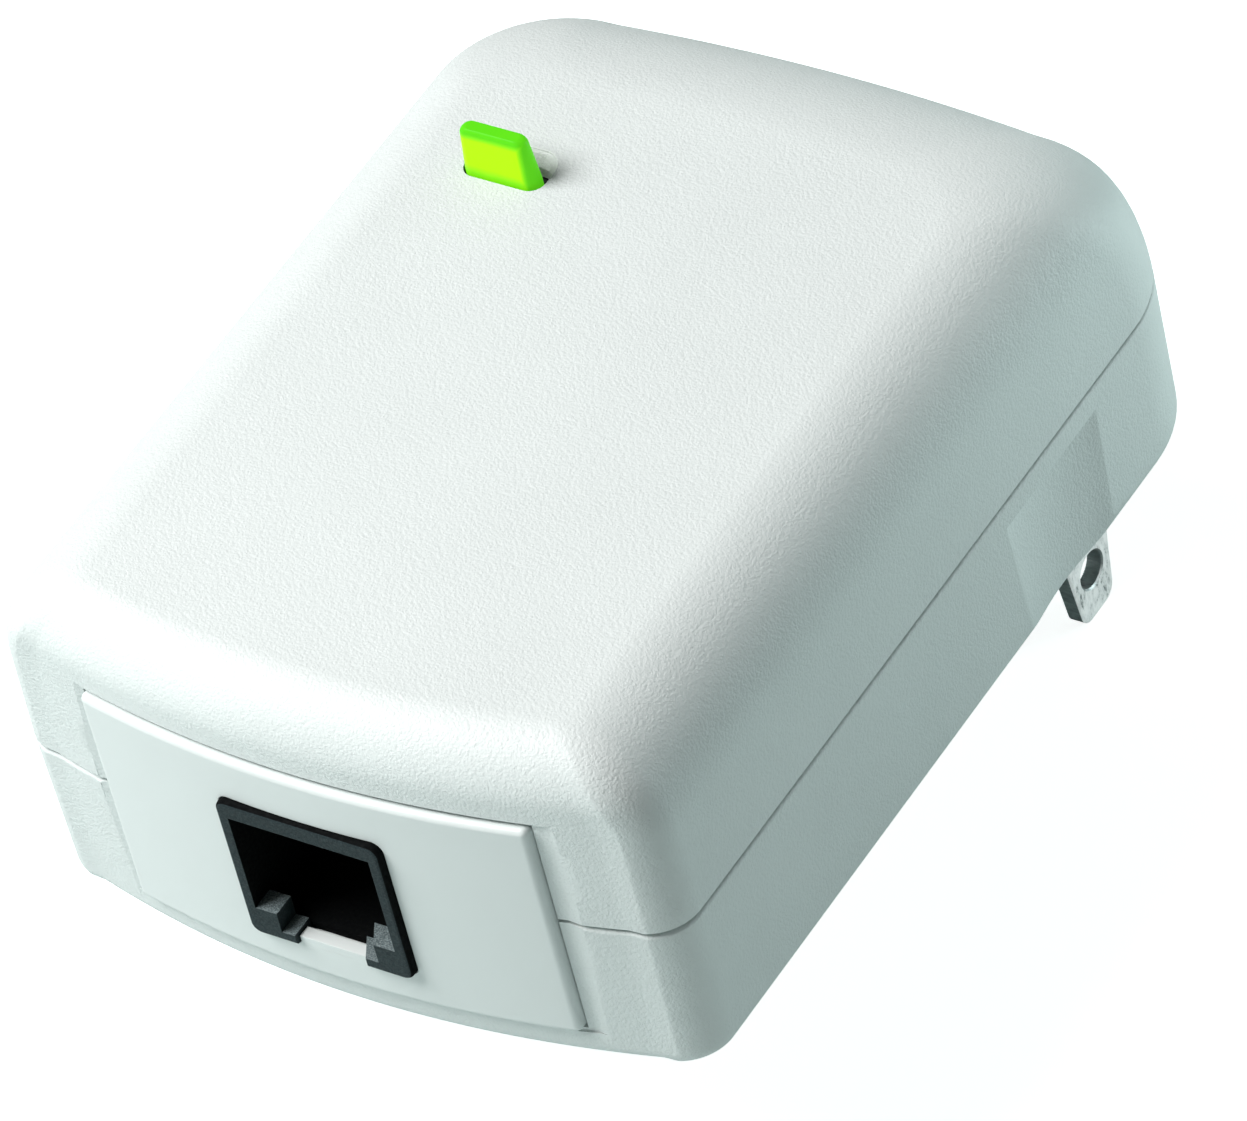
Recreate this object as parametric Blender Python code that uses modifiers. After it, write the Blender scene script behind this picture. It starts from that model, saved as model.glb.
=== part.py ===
"""Plug-in powerline network adapter, modelled as an assembly of its real pieces.

Units are metres and +Z points out of the wall. The world origin is on the flat back face,
midway between the two mains blades. Inside the script, lengths are laid out in "body"
coordinates: x = 0 on the case's centre plane, y = 0 at the middle of the bowed jack end,
z = 0 on the back face. One empty carries the whole assembly from body to world coordinates.
"""
import math

import bmesh
import bpy
from mathutils import Matrix

MM = 0.001

# Case
CASE_WIDTH = 55.8 * MM
CASE_LENGTH = 79.1 * MM
CASE_HEIGHT = 29.6 * MM
PARTING_Z = 13.8 * MM
PARTING_GAP = 0.3 * MM
WALL = 2.0 * MM
LIP_INSET = 1.3 * MM
LIP_INNER = 2.2 * MM
LIP_HEIGHT = 1.2 * MM
DRAFT = math.radians(0.9)
FRONT_BOW_RADIUS = 94.0 * MM
REAR_BOW_RADIUS = 180.0 * MM
FRONT_CORNER = 3.8 * MM
REAR_CORNER = 10.4 * MM
SIDE_ROUND = 7.6 * MM
FRONT_ROUND = 4.7 * MM
REAR_ROUND = 15.6 * MM
BASE_ROUND = 1.4 * MM
LEAST_ROUND = 0.4 * MM

# Mains plug: two flat blades, 1/2 inch apart
PLUG_X = 12.8 * MM
PLUG_Y = 67.0 * MM
BLADE_SPACING = 12.7 * MM
BLADE_WIDTH = 6.35 * MM
BLADE_TIP_WIDTH = 4.4 * MM
BLADE_TAPER_LENGTH = 8.4 * MM
BLADE_THICKNESS = 1.4 * MM
BLADE_LENGTH = 16.7 * MM
BLADE_HOLE_DEPTH = 12.5 * MM
BLADE_HOLE_RADIUS = 1.55 * MM
BLADE_TIP_CORNER = 0.9 * MM
BLADE_SHOULDER_Z = 7.0 * MM
BLADE_TAIL_WIDTH = 3.0 * MM
BLADE_TAIL_Z = 10.3 * MM
CARRIER_WIDTH = 18.2 * MM
CARRIER_DEPTH = 9.0 * MM
CARRIER_TOP = 6.4 * MM
LEAD_RADIUS = 0.7 * MM

# Touching pieces keep this gap
GAP = 0.3 * MM

# End plate and network jack
PLATE_HALF_WIDTH = 18.75 * MM
PLATE_BOTTOM = 3.0 * MM
PLATE_TOP = 23.2 * MM
PLATE_PROUD = 0.4 * MM
PLATE_THICKNESS = 2.6 * MM
PLATE_EDGE_ROUND = 0.6 * MM
PLATE_OPENING_FRONT = -4.0 * MM
PLATE_OPENING_BACK = 3.5 * MM
TONGUE_DROP = 0.35 * MM
TONGUE_THICKNESS = 1.0 * MM
TONGUE_SET_BACK = 0.12 * MM
REBATE_WIDTH = 1.1 * MM
REBATE_DEPTH = 0.5 * MM
REBATE_END = 0.35 * MM
JACK_WIDTH = 13.8 * MM
JACK_HEIGHT = 13.3 * MM
JACK_TOP_BORDER = 1.47 * MM
JACK_BOTTOM = 5.95 * MM
JACK_FRONT = -0.8 * MM
JACK_DEPTH = 17.0 * MM
PORT_WIDTH = 11.8 * MM
PORT_HEIGHT = 9.05 * MM
PORT_DEPTH = 13.5 * MM
PORT_STEP_WIDTH = 8.2 * MM
PORT_STEP_HEIGHT = 1.8 * MM
LATCH_WIDTH = 6.0 * MM
SHOULDER_DEPTH = 1.9 * MM
LATCH_DEPTH = 1.9 * MM
PORT_FLOOR = 0.7 * MM
JACK_EDGE_ROUND = 0.35 * MM
PORT_TOP = JACK_BOTTOM + JACK_HEIGHT - JACK_TOP_BORDER
SHOULDER_Z = PORT_TOP - PORT_HEIGHT
STEP_Z = SHOULDER_Z - PORT_STEP_HEIGHT
CONTACT_PITCH = 1.02 * MM
CONTACT_RADIUS = 0.2 * MM
CONTACT_COUNT = 8
# (behind the jack's front, above the port's top) along each spring contact
CONTACT_ROUTE = [(2.9 * MM, -0.8 * MM), (3.9 * MM, -1.0 * MM), (10.5 * MM, -5.0 * MM),
                 (12.7 * MM, -5.3 * MM)]

# Circuit board
BOARD_THICKNESS = 1.6 * MM
BOARD_TOP = 5.3 * MM
BOARD_BOTTOM = BOARD_TOP - BOARD_THICKNESS
BOARD_HALF_WIDTH = 24.0 * MM
BOARD_FRONT = 6.4 * MM
BOARD_REAR = 60.5 * MM
BOARD_TAIL = 73.3 * MM
TAIL_EDGE = 0.5 * MM
TAIL_CORNER_X = -18.6 * MM
TAIL_CORNER_Y = 65.6 * MM
BOARD_NOTCH_RADIUS = 4.3 * MM
PART_Z = BOARD_TOP + GAP

LEAD_END_X = {"left": 6.4 * MM, "right": 17.0 * MM}
# (share of the way across, towards the jack, height) along each lead from blade to board
LEAD_ROUTE = [(0.0, 2.0 * MM, 9.0 * MM), (0.2, 3.4 * MM, 9.6 * MM), (0.6, 5.4 * MM, 9.8 * MM),
              (0.9, 7.2 * MM, 8.8 * MM), (1.0, 7.9 * MM, 7.2 * MM), (1.0, 8.1 * MM, PART_Z)]

# Pairing button: a lit key in a rounded slot
KEY_X = -13.4 * MM
KEY_Y = 52.85 * MM
KEY_WIDTH = 6.3 * MM
KEY_THICKNESS = 1.9 * MM
KEY_TOP_WIDTH = 5.6 * MM
KEY_TOP_THICKNESS = 1.3 * MM
KEY_TOP_RADIUS = 0.64 * MM
KEY_PROUD = 4.1 * MM
KEY_FLANGE = 1.2 * MM
KEY_TRAVEL = 0.5 * MM
KEY_END_RADIUS = 0.94 * MM
KEY_EDGE_ROUND = 0.35 * MM
KEY_OVERLAP = 0.9 * MM
SLOT_X = -13.3 * MM
SLOT_Y = 53.8 * MM
SLOT_WIDTH = 6.9 * MM
SLOT_DEPTH = 4.5 * MM
SLOT_CORNER = 1.7 * MM
SWITCH_SIZE = 6.0 * MM
SWITCH_HEIGHT = 4.0 * MM
SWITCH_WELL = 2.0 * MM
PLUNGER_RADIUS = 1.7 * MM
PLUNGER_HEIGHT = 3.4 * MM
LED_OFFSET = 5.4 * MM
LED_RADIUS = 1.5 * MM
LED_RIM_RADIUS = 1.9 * MM
LED_RIM_HEIGHT = 1.0 * MM
LED_DOME_Z = 3.0 * MM

# Finger scoops in the long sides of the rear cover
SCOOP_Y = 55.05 * MM
SCOOP_LENGTH = 13.3 * MM
SCOOP_DEPTH = 1.1 * MM
SCOOP_TOP = PARTING_Z - 2.05 * MM
SCOOP_RADIUS = (SCOOP_LENGTH ** 2 / 4 + SCOOP_DEPTH ** 2) / (2 * SCOOP_DEPTH)

# Case screws
SCREW_X = 22.4 * MM
SCREW_ROWS = (12.5 * MM, 58.5 * MM)
POST_RADIUS = 2.7 * MM
POST_TOP = 25.8 * MM
SCREW_RADIUS = 1.25 * MM
SCREW_HEAD_RADIUS = 2.4 * MM
SCREW_HEAD_HEIGHT = 1.5 * MM
SCREW_LENGTH = 11.0 * MM
HEAD_RECESS = 0.5 * MM
SCREW_FLOOR = 2.0 * MM
SCREW_SEAT_Z = HEAD_RECESS + SCREW_HEAD_HEIGHT + GAP + SCREW_FLOOR
BOSS_WALL = 1.0 * MM
BOARD_RESTS = [(-17 * MM, 22 * MM), (17 * MM, 22 * MM), (-17 * MM, 56 * MM), (10 * MM, 57 * MM)]

# How far cutters reach past the faces they cut
REACH = 1.0 * MM


# ---------------------------------------------------------------- scene helpers

def clear_scene():
    for item in list(bpy.data.objects):
        bpy.data.objects.remove(item, do_unlink=True)


def make_collection(name):
    collection = bpy.data.collections.new(name)
    bpy.context.scene.collection.children.link(collection)
    return collection


clear_scene()
PARTS = make_collection("powerline_adapter")
CUTTERS = make_collection("cutters")
BODY = bpy.data.objects.new("body_frame", None)
BODY.location = (-PLUG_X, -PLUG_Y, 0)
PARTS.objects.link(BODY)


def make_material(name, colour, roughness, metallic=0.0):
    material = bpy.data.materials.new(name)
    material.use_nodes = True
    shader = material.node_tree.nodes["Principled BSDF"]
    shader.inputs["Base Color"].default_value = (*colour, 1.0)
    shader.inputs["Roughness"].default_value = roughness
    shader.inputs["Metallic"].default_value = metallic
    return material


def place(mesh, name, material, location=(0, 0, 0), rotation=(0, 0, 0)):
    item = bpy.data.objects.new(name, mesh)
    item.location = location
    item.rotation_euler = rotation
    item.parent = BODY
    mesh.materials.append(material)
    PARTS.objects.link(item)
    return item


def place_cutter(mesh, name, location=(0, 0, 0), rotation=(0, 0, 0)):
    item = bpy.data.objects.new(name, mesh)
    item.location = location
    item.rotation_euler = rotation
    item.parent = BODY
    item.hide_render = True
    item.display_type = "WIRE"
    CUTTERS.objects.link(item)
    return item


def boolean(target, tool, operation="DIFFERENCE"):
    modifier = target.modifiers.new(operation.lower(), "BOOLEAN")
    modifier.operation = operation
    modifier.solver = "EXACT"
    modifier.object = tool


def bevel(item, width, segments=2):
    modifier = item.modifiers.new("bevel", "BEVEL")
    modifier.width = width
    modifier.segments = segments
    modifier.limit_method = "ANGLE"
    modifier.angle_limit = math.radians(40)


def shade_round(mesh, angle=35):
    mesh.shade_smooth()
    mesh.set_sharp_from_angle(angle=math.radians(angle))


# ---------------------------------------------------------------- mesh helpers

def finish_mesh(bm, name):
    bmesh.ops.recalc_face_normals(bm, faces=bm.faces)
    mesh = bpy.data.meshes.new(name)
    bm.to_mesh(mesh)
    bm.free()
    return mesh


def box_mesh(name, x, y, z):
    bm = bmesh.new()
    bmesh.ops.create_cube(bm, size=1.0, matrix=Matrix.Diagonal((x, y, z, 1)))
    return finish_mesh(bm, name)


def cone_mesh(name, radius_low, radius_high, height, segments=24):
    """A closed cone or cylinder standing on its own origin."""
    bm = bmesh.new()
    bmesh.ops.create_cone(bm, cap_ends=True, segments=segments, radius1=radius_low,
                          radius2=radius_high, depth=height,
                          matrix=Matrix.Translation((0, 0, height / 2)))
    mesh = finish_mesh(bm, name)
    shade_round(mesh)
    return mesh


def outline_mesh(name, points, thickness):
    """A flat outline, thickened equally to both sides of z = 0."""
    curve = bpy.data.curves.new(name, "CURVE")
    curve.dimensions = "2D"
    curve.fill_mode = "BOTH"
    curve.extrude = thickness / 2
    spline = curve.splines.new("POLY")
    spline.points.add(len(points) - 1)
    for point, (x, y) in zip(spline.points, points):
        point.co = (x, y, 0, 1)
    spline.use_cyclic_u = True
    return mesh_from_curve(curve, name)


def wire_mesh(name, points, radius):
    """A round wire along a polyline."""
    curve = bpy.data.curves.new(name, "CURVE")
    curve.dimensions = "3D"
    curve.bevel_depth = radius
    curve.bevel_resolution = 2
    curve.use_fill_caps = True
    spline = curve.splines.new("POLY")
    spline.points.add(len(points) - 1)
    for spline_point, (x, y, z) in zip(spline.points, points):
        spline_point.co = (x, y, z, 1)
    return mesh_from_curve(curve, name)


def mesh_from_curve(curve, name):
    source = bpy.data.objects.new(name + "_curve", curve)
    PARTS.objects.link(source)
    evaluated = source.evaluated_get(bpy.context.evaluated_depsgraph_get())
    mesh = bpy.data.meshes.new_from_object(evaluated)
    bpy.data.objects.remove(source, do_unlink=True)
    bm = bmesh.new()
    bm.from_mesh(mesh)
    bmesh.ops.remove_doubles(bm, verts=bm.verts, dist=0.001 * MM)
    bmesh.ops.recalc_face_normals(bm, faces=bm.faces)
    bm.to_mesh(mesh)
    bm.free()
    mesh.materials.clear()
    mesh.name = name
    return mesh


def loft_mesh(name, rings):
    """A closed skin through rings that all have the same number of points."""
    bm = bmesh.new()
    loops = [[bm.verts.new(point) for point in ring] for ring in rings]
    bm.faces.new(list(reversed(loops[0])))
    bm.faces.new(loops[-1])
    count = len(loops[0])
    for low, high in zip(loops, loops[1:]):
        for i in range(count):
            j = (i + 1) % count
            bm.faces.new((low[i], low[j], high[j], high[i]))
    return finish_mesh(bm, name)


def arc(centre_x, centre_y, radius, start, end, steps):
    """Points of an arc in a plane; angles in degrees."""
    points = []
    for i in range(steps + 1):
        angle = math.radians(start + (end - start) * i / steps)
        points.append((centre_x + radius * math.cos(angle), centre_y + radius * math.sin(angle)))
    return points


def rounded_rectangle(width, height, radius, steps=5):
    x = width / 2 - radius
    y = height / 2 - radius
    return (arc(x, -y, radius, -90, 0, steps) + arc(x, y, radius, 0, 90, steps)
            + arc(-x, y, radius, 90, 180, steps) + arc(-x, -y, radius, 180, 270, steps))


# ---------------------------------------------------------------- case shape

def front_bow(x):
    return x * x / (2 * FRONT_BOW_RADIUS)


def rear_bow(x):
    return CASE_LENGTH - x * x / (2 * REAR_BOW_RADIUS)


def rounding_inset(z, low, high, radius_low, radius_high):
    """How far a rounded edge has moved inwards at height z."""
    if z < low + radius_low:
        rise = low + radius_low - z
        return radius_low - math.sqrt(max(radius_low ** 2 - rise ** 2, 0))
    if z > high - radius_high:
        rise = z - (high - radius_high)
        return radius_high - math.sqrt(max(radius_high ** 2 - rise ** 2, 0))
    return 0.0


def case_ring(z, wall=0.0, bow_steps=8, corner_steps=4):
    """The case's outline at height z, moved inwards by the wall thickness."""
    low = wall
    high = CASE_HEIGHT - wall
    slope = abs(z - PARTING_Z) * math.tan(DRAFT)
    base = max(BASE_ROUND - wall, LEAST_ROUND)
    side = rounding_inset(z, low, high, base, SIDE_ROUND - wall) + slope + wall
    front = rounding_inset(z, low, high, base, FRONT_ROUND - wall) + slope + wall
    rear = rounding_inset(z, low, high, base, REAR_ROUND - wall) + slope + wall
    half = CASE_WIDTH / 2 - side
    front_radius = max(FRONT_CORNER - wall - 0.5 * (front - slope - wall), 1.0 * MM)
    rear_radius = max(REAR_CORNER - wall - 0.3 * (rear - slope - wall), 2.0 * MM)
    front_edge = half - front_radius
    rear_edge = half - rear_radius
    points = []
    for i in range(bow_steps + 1):
        x = -front_edge + 2 * front_edge * i / bow_steps
        points.append((x, front_bow(x) + front))
    lean = math.degrees(math.asin(front_edge / FRONT_BOW_RADIUS))
    start_y = points[-1][1]
    corner = arc(0, 0, front_radius, -90 + lean, 0, corner_steps)
    shift_x = half - front_radius
    for x, y in corner[1:]:
        points.append((shift_x + x, start_y - corner[0][1] + y))
    right_front = points[bow_steps + 1:]
    lean = math.degrees(math.asin(rear_edge / REAR_BOW_RADIUS))
    corner = arc(0, 0, rear_radius, 0, 90 - lean, corner_steps)
    end_y = rear_bow(rear_edge) - rear
    right_rear = [(half - rear_radius + x, end_y - corner[-1][1] + y) for x, y in corner]
    points += right_rear
    for i in range(1, bow_steps):
        x = rear_edge - 2 * rear_edge * i / bow_steps
        points.append((x, rear_bow(x) - rear))
    points += [(-x, y) for x, y in reversed(right_rear)]
    points += [(-x, y) for x, y in reversed(right_front)]
    return [(x, y, z) for x, y in points]


def spread(start, end, steps):
    return [start + (end - start) * i / steps for i in range(steps + 1)]


def dome_levels(top, radius, steps):
    """Heights that divide a rounded top edge evenly by angle, ending just under its top."""
    angles = [90 * i / steps for i in range(steps + 1)]
    return [top - radius + radius * math.sin(math.radians(a)) for a in angles]


def front_shell_levels(wall):
    top = CASE_HEIGHT - wall
    return [z for z in dome_levels(top, REAR_ROUND - wall, 10) if z > PARTING_Z + 1 * MM]


def front_shell_mesh(name, wall, start):
    levels = [start] + front_shell_levels(wall)
    return loft_mesh(name, [case_ring(z, wall) for z in levels])


def rear_shell_mesh(name, wall, end):
    base = max(BASE_ROUND - wall, LEAST_ROUND)
    angles = (90, 60, 30, 0)
    levels = [wall + base - base * math.sin(math.radians(a)) for a in angles] + [end]
    return loft_mesh(name, [case_ring(z, wall) for z in levels])


def straight_loft(name, wall, low, high):
    return loft_mesh(name, [case_ring(z, wall) for z in (low, high)])


def bowed_panel(name, half_width, bottom, top, near, far, steps=12):
    """A slab that follows the bowed jack end, from near to far in front of the bow line."""
    xs = spread(-half_width, half_width, steps)
    outline = [(x, front_bow(x) + near) for x in xs] + [(x, front_bow(x) + far) for x in reversed(xs)]
    mesh = outline_mesh(name, outline, top - bottom)
    mesh.transform(Matrix.Translation((0, 0, (top + bottom) / 2)))
    return mesh


def turned(name, profile, material, location, steps=24, rotation=(0, 0, 0)):
    """A solid of revolution about the object's own Z; the profile runs from top to bottom."""
    mesh = bpy.data.meshes.new(name)
    points = [(radius, 0, z) for radius, z in profile]
    edges = [(i, i + 1) for i in range(len(points) - 1)]
    mesh.from_pydata(points, edges, [])
    item = place(mesh, name, material, location, rotation)
    screw = item.modifiers.new("turn", "SCREW")
    screw.axis = "Z"
    screw.angle = math.tau
    screw.steps = steps
    screw.render_steps = steps
    screw.use_merge_vertices = True
    screw.merge_threshold = 0.00001
    screw.use_smooth_shade = True
    return item


# ---------------------------------------------------------------- materials

WHITE_SHELL = make_material("shell_white", (0.84, 0.86, 0.85), 0.55)
WHITE_SMOOTH = make_material("plate_white", (0.85, 0.87, 0.86), 0.38)
JACK_BLACK = make_material("jack_black", (0.025, 0.028, 0.03), 0.5)
KEY_GREEN = make_material("key_green", (0.35, 1.0, 0.02), 0.3)
PLATED = make_material("plated_metal", (0.72, 0.73, 0.71), 0.3, 1.0)
GOLD = make_material("contact_gold", (0.83, 0.62, 0.25), 0.25, 1.0)
BOARD_GREEN = make_material("board_green", (0.03, 0.2, 0.09), 0.45)
DARK_EPOXY = make_material("dark_epoxy", (0.03, 0.03, 0.035), 0.55)
FERRITE = make_material("ferrite", (0.08, 0.075, 0.075), 0.7)
COPPER = make_material("winding_copper", (0.62, 0.28, 0.12), 0.35, 1.0)
AMBER_TAPE = make_material("amber_tape", (0.85, 0.6, 0.08), 0.35)
CAPACITOR_SLEEVE = make_material("capacitor_sleeve", (0.02, 0.03, 0.05), 0.4)
FILM_YELLOW = make_material("film_yellow", (0.85, 0.6, 0.05), 0.45)
CERAMIC_BLUE = make_material("ceramic_blue", (0.04, 0.16, 0.45), 0.45)
STEEL = make_material("screw_steel", (0.55, 0.56, 0.57), 0.35, 1.0)
CARRIER_WHITE = make_material("carrier_white", (0.7, 0.71, 0.69), 0.6)
WIRE_BLACK = make_material("wire_black", (0.02, 0.02, 0.02), 0.5)
LED_GREEN = make_material("led_green", (0.2, 0.9, 0.15), 0.2)
CAN_METAL = make_material("can_metal", (0.66, 0.67, 0.68), 0.3, 1.0)


# ---------------------------------------------------------------- case

def plate_cutter(name, half_width, bottom, top, near, far):
    return place_cutter(bowed_panel(name, half_width, bottom, top, near, far), name)


def cut_plate_opening(cover, label):
    """Opens the jack end for the end plate, with a shallow rebate down each side of it."""
    opening = plate_cutter(label + "_plate_opening", PLATE_HALF_WIDTH + GAP, PLATE_BOTTOM - GAP,
                           PLATE_TOP + GAP, PLATE_OPENING_FRONT, PLATE_OPENING_BACK)
    rebate = plate_cutter(label + "_plate_rebate", PLATE_HALF_WIDTH + REBATE_WIDTH,
                          PLATE_BOTTOM - REBATE_END, PLATE_TOP + REBATE_END, PLATE_OPENING_FRONT,
                          REBATE_DEPTH)
    boolean(cover, opening)
    boolean(cover, rebate)


def screw_places():
    return [(side * SCREW_X, y) for y in SCREW_ROWS for side in (-1, 1)]


def make_front_cover():
    start = PARTING_Z + PARTING_GAP / 2
    cover = place(front_shell_mesh("front_cover", 0.0, start), "front_cover", WHITE_SHELL)
    cavity = place_cutter(front_shell_mesh("front_cavity", WALL, start - REACH), "front_cavity")
    boolean(cover, cavity)
    seat = straight_loft("lip_seat", LIP_INSET - GAP, start - REACH, PARTING_Z + LIP_HEIGHT + GAP)
    boolean(cover, place_cutter(seat, "lip_seat"))
    post_foot = SCREW_SEAT_Z + GAP
    for i, (x, y) in enumerate(screw_places()):
        post = cone_mesh(f"post_{i}", POST_RADIUS, POST_RADIUS, POST_TOP - post_foot, 16)
        boolean(cover, place_cutter(post, f"post_{i}", (x, y, post_foot)), "UNION")
    for i, (x, y) in enumerate(screw_places()):
        bore = cone_mesh(f"post_bore_{i}", SCREW_RADIUS + GAP, SCREW_RADIUS + GAP, SCREW_LENGTH, 16)
        boolean(cover, place_cutter(bore, f"post_bore_{i}", (x, y, post_foot - REACH / 2)))
    slot = outline_mesh("key_slot", rounded_rectangle(SLOT_WIDTH, SLOT_DEPTH, SLOT_CORNER), 8 * MM)
    boolean(cover, place_cutter(slot, "key_slot", (SLOT_X, SLOT_Y, CASE_HEIGHT)))
    cut_plate_opening(cover, "front")
    return cover


def make_rear_cover():
    end = PARTING_Z - PARTING_GAP / 2
    cover = place(rear_shell_mesh("rear_cover", 0.0, end), "rear_cover", WHITE_SHELL)
    cavity = place_cutter(rear_shell_mesh("rear_cavity", WALL, end + REACH), "rear_cavity")
    boolean(cover, cavity)
    lip_top = PARTING_Z + LIP_HEIGHT
    lip_root = end - 1.6 * MM
    lip = place_cutter(straight_loft("lip", LIP_INSET, lip_root, lip_top), "lip")
    core = straight_loft("lip_core", LIP_INNER, lip_root - REACH, lip_top + REACH)
    boolean(lip, place_cutter(core, "lip_core"))
    boolean(cover, lip, "UNION")
    for i, (x, y) in enumerate(screw_places()):
        boss = cone_mesh(f"boss_{i}", SCREW_HEAD_RADIUS + BOSS_WALL + 0.2 * MM,
                         SCREW_HEAD_RADIUS + BOSS_WALL, SCREW_SEAT_Z - WALL / 2, 20)
        boolean(cover, place_cutter(boss, f"boss_{i}", (x, y, WALL / 2)), "UNION")
    for i, (x, y) in enumerate(BOARD_RESTS):
        rest = cone_mesh(f"board_rest_{i}", 2.0 * MM, 1.6 * MM, BOARD_BOTTOM - GAP - WALL / 2, 12)
        boolean(cover, place_cutter(rest, f"board_rest_{i}", (x, y, WALL / 2)), "UNION")
    for i, (x, y) in enumerate(screw_places()):
        recess = cone_mesh(f"head_recess_{i}", SCREW_HEAD_RADIUS + GAP, SCREW_HEAD_RADIUS + GAP,
                           HEAD_RECESS + SCREW_HEAD_HEIGHT + GAP + REACH, 20)
        boolean(cover, place_cutter(recess, f"head_recess_{i}", (x, y, -REACH)))
        hole = cone_mesh(f"screw_hole_{i}", SCREW_RADIUS + GAP, SCREW_RADIUS + GAP, 8 * MM, 16)
        boolean(cover, place_cutter(hole, f"screw_hole_{i}", (x, y, 0)))
    for side in (-1, 1):
        slot = box_mesh(f"blade_slot_{side}", BLADE_THICKNESS + 2 * GAP, BLADE_WIDTH + 2 * GAP, 8 * MM)
        boolean(cover, place_cutter(slot, f"blade_slot_{side}",
                                    (PLUG_X + side * BLADE_SPACING / 2, PLUG_Y, 0)))
        scoop = cone_mesh(f"scoop_{side}", SCOOP_RADIUS, SCOOP_RADIUS, SCOOP_TOP + REACH, 96)
        scoop_x = CASE_WIDTH / 2 + SCOOP_RADIUS - SCOOP_DEPTH
        boolean(cover, place_cutter(scoop, f"scoop_{side}", (side * scoop_x, SCOOP_Y, -REACH)))
    cut_plate_opening(cover, "rear")
    return cover


def make_jack_plate():
    """Bowed end plate with the jack's opening and a tongue that fills the jack's notch."""
    mesh = bowed_panel("jack_plate", PLATE_HALF_WIDTH, PLATE_BOTTOM, PLATE_TOP,
                       -PLATE_PROUD, PLATE_THICKNESS - PLATE_PROUD)
    plate = place(mesh, "jack_plate", WHITE_SMOOTH)
    bevel(plate, PLATE_EDGE_ROUND)
    opening = box_mesh("jack_opening", JACK_WIDTH + 2 * GAP, 12 * MM, JACK_HEIGHT + 2 * GAP)
    boolean(plate, place_cutter(opening, "jack_opening", (0, 0, JACK_BOTTOM + JACK_HEIGHT / 2)))
    tongue_top = STEP_Z - TONGUE_DROP
    tongue_bottom = JACK_BOTTOM - 2 * GAP
    tongue = box_mesh("plate_tongue", LATCH_WIDTH - 2.2 * GAP, TONGUE_THICKNESS,
                      tongue_top - tongue_bottom)
    tongue_y = TONGUE_THICKNESS / 2 - PLATE_PROUD + TONGUE_SET_BACK
    boolean(plate, place_cutter(tongue, "plate_tongue",
                                (0, tongue_y, (tongue_top + tongue_bottom) / 2)), "UNION")
    return plate


def make_jack():
    """Network jack, latch side down: port, two steps and a latch notch open at the bottom."""
    block = box_mesh("rj45_housing", JACK_WIDTH, JACK_DEPTH, JACK_HEIGHT)
    jack = place(block, "rj45_housing", JACK_BLACK,
                 (0, JACK_FRONT + JACK_DEPTH / 2, JACK_BOTTOM + JACK_HEIGHT / 2))
    bevel(jack, JACK_EDGE_ROUND)
    mouth = JACK_FRONT - REACH
    joined = 0.1 * MM

    def port_cut(name, width, low, high, start, end):
        cutter = box_mesh(name, width, end - start, high - low)
        boolean(jack, place_cutter(cutter, name, (0, (start + end) / 2, (low + high) / 2)))

    port_back = JACK_FRONT + PORT_DEPTH
    shoulder_back = JACK_FRONT + SHOULDER_DEPTH
    port_cut("port", PORT_WIDTH, SHOULDER_Z, PORT_TOP, mouth, port_back)
    port_cut("port_step", PORT_STEP_WIDTH, STEP_Z, SHOULDER_Z + joined, mouth, port_back)
    port_cut("port_rear", PORT_WIDTH, JACK_BOTTOM + PORT_FLOOR, SHOULDER_Z + joined,
             shoulder_back, port_back)
    port_cut("latch_notch", LATCH_WIDTH, JACK_BOTTOM - REACH, STEP_Z + joined, mouth,
             JACK_FRONT + LATCH_DEPTH)
    first = -(CONTACT_COUNT - 1) / 2 * CONTACT_PITCH
    for i in range(CONTACT_COUNT):
        x = first + i * CONTACT_PITCH
        points = [(x, JACK_FRONT + y, PORT_TOP + z) for y, z in CONTACT_ROUTE]
        mesh = wire_mesh(f"rj45_contact_{i + 1}", points, CONTACT_RADIUS)
        place(mesh, f"rj45_contact_{i + 1}", GOLD)


# ---------------------------------------------------------------- button and switch

def make_pairing_button():
    """Lit key: its origin is on its own travel axis, level with the top face."""
    plunger_top = PART_Z + SWITCH_HEIGHT + PLUNGER_HEIGHT
    stem = CASE_HEIGHT - plunger_top - GAP
    section = rounded_rectangle(KEY_WIDTH, KEY_THICKNESS, KEY_END_RADIUS)
    top = rounded_rectangle(KEY_TOP_WIDTH, KEY_TOP_THICKNESS, KEY_TOP_RADIUS)
    rings = [[(x, y, -stem) for x, y in section], [(x, y, 0) for x, y in section],
             [(x, y, KEY_PROUD) for x, y in top]]
    key = place(loft_mesh("pairing_button", rings), "pairing_button", KEY_GREEN,
                (KEY_X, KEY_Y, CASE_HEIGHT))
    bevel(key, KEY_EDGE_ROUND)
    flange = box_mesh("key_flange", SLOT_WIDTH + 2 * KEY_OVERLAP, SLOT_DEPTH + 2 * KEY_OVERLAP,
                      KEY_FLANGE)
    flange_z = CASE_HEIGHT - WALL - GAP - KEY_FLANGE / 2
    boolean(key, place_cutter(flange, "key_flange", (SLOT_X, SLOT_Y, flange_z)), "UNION")


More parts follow.
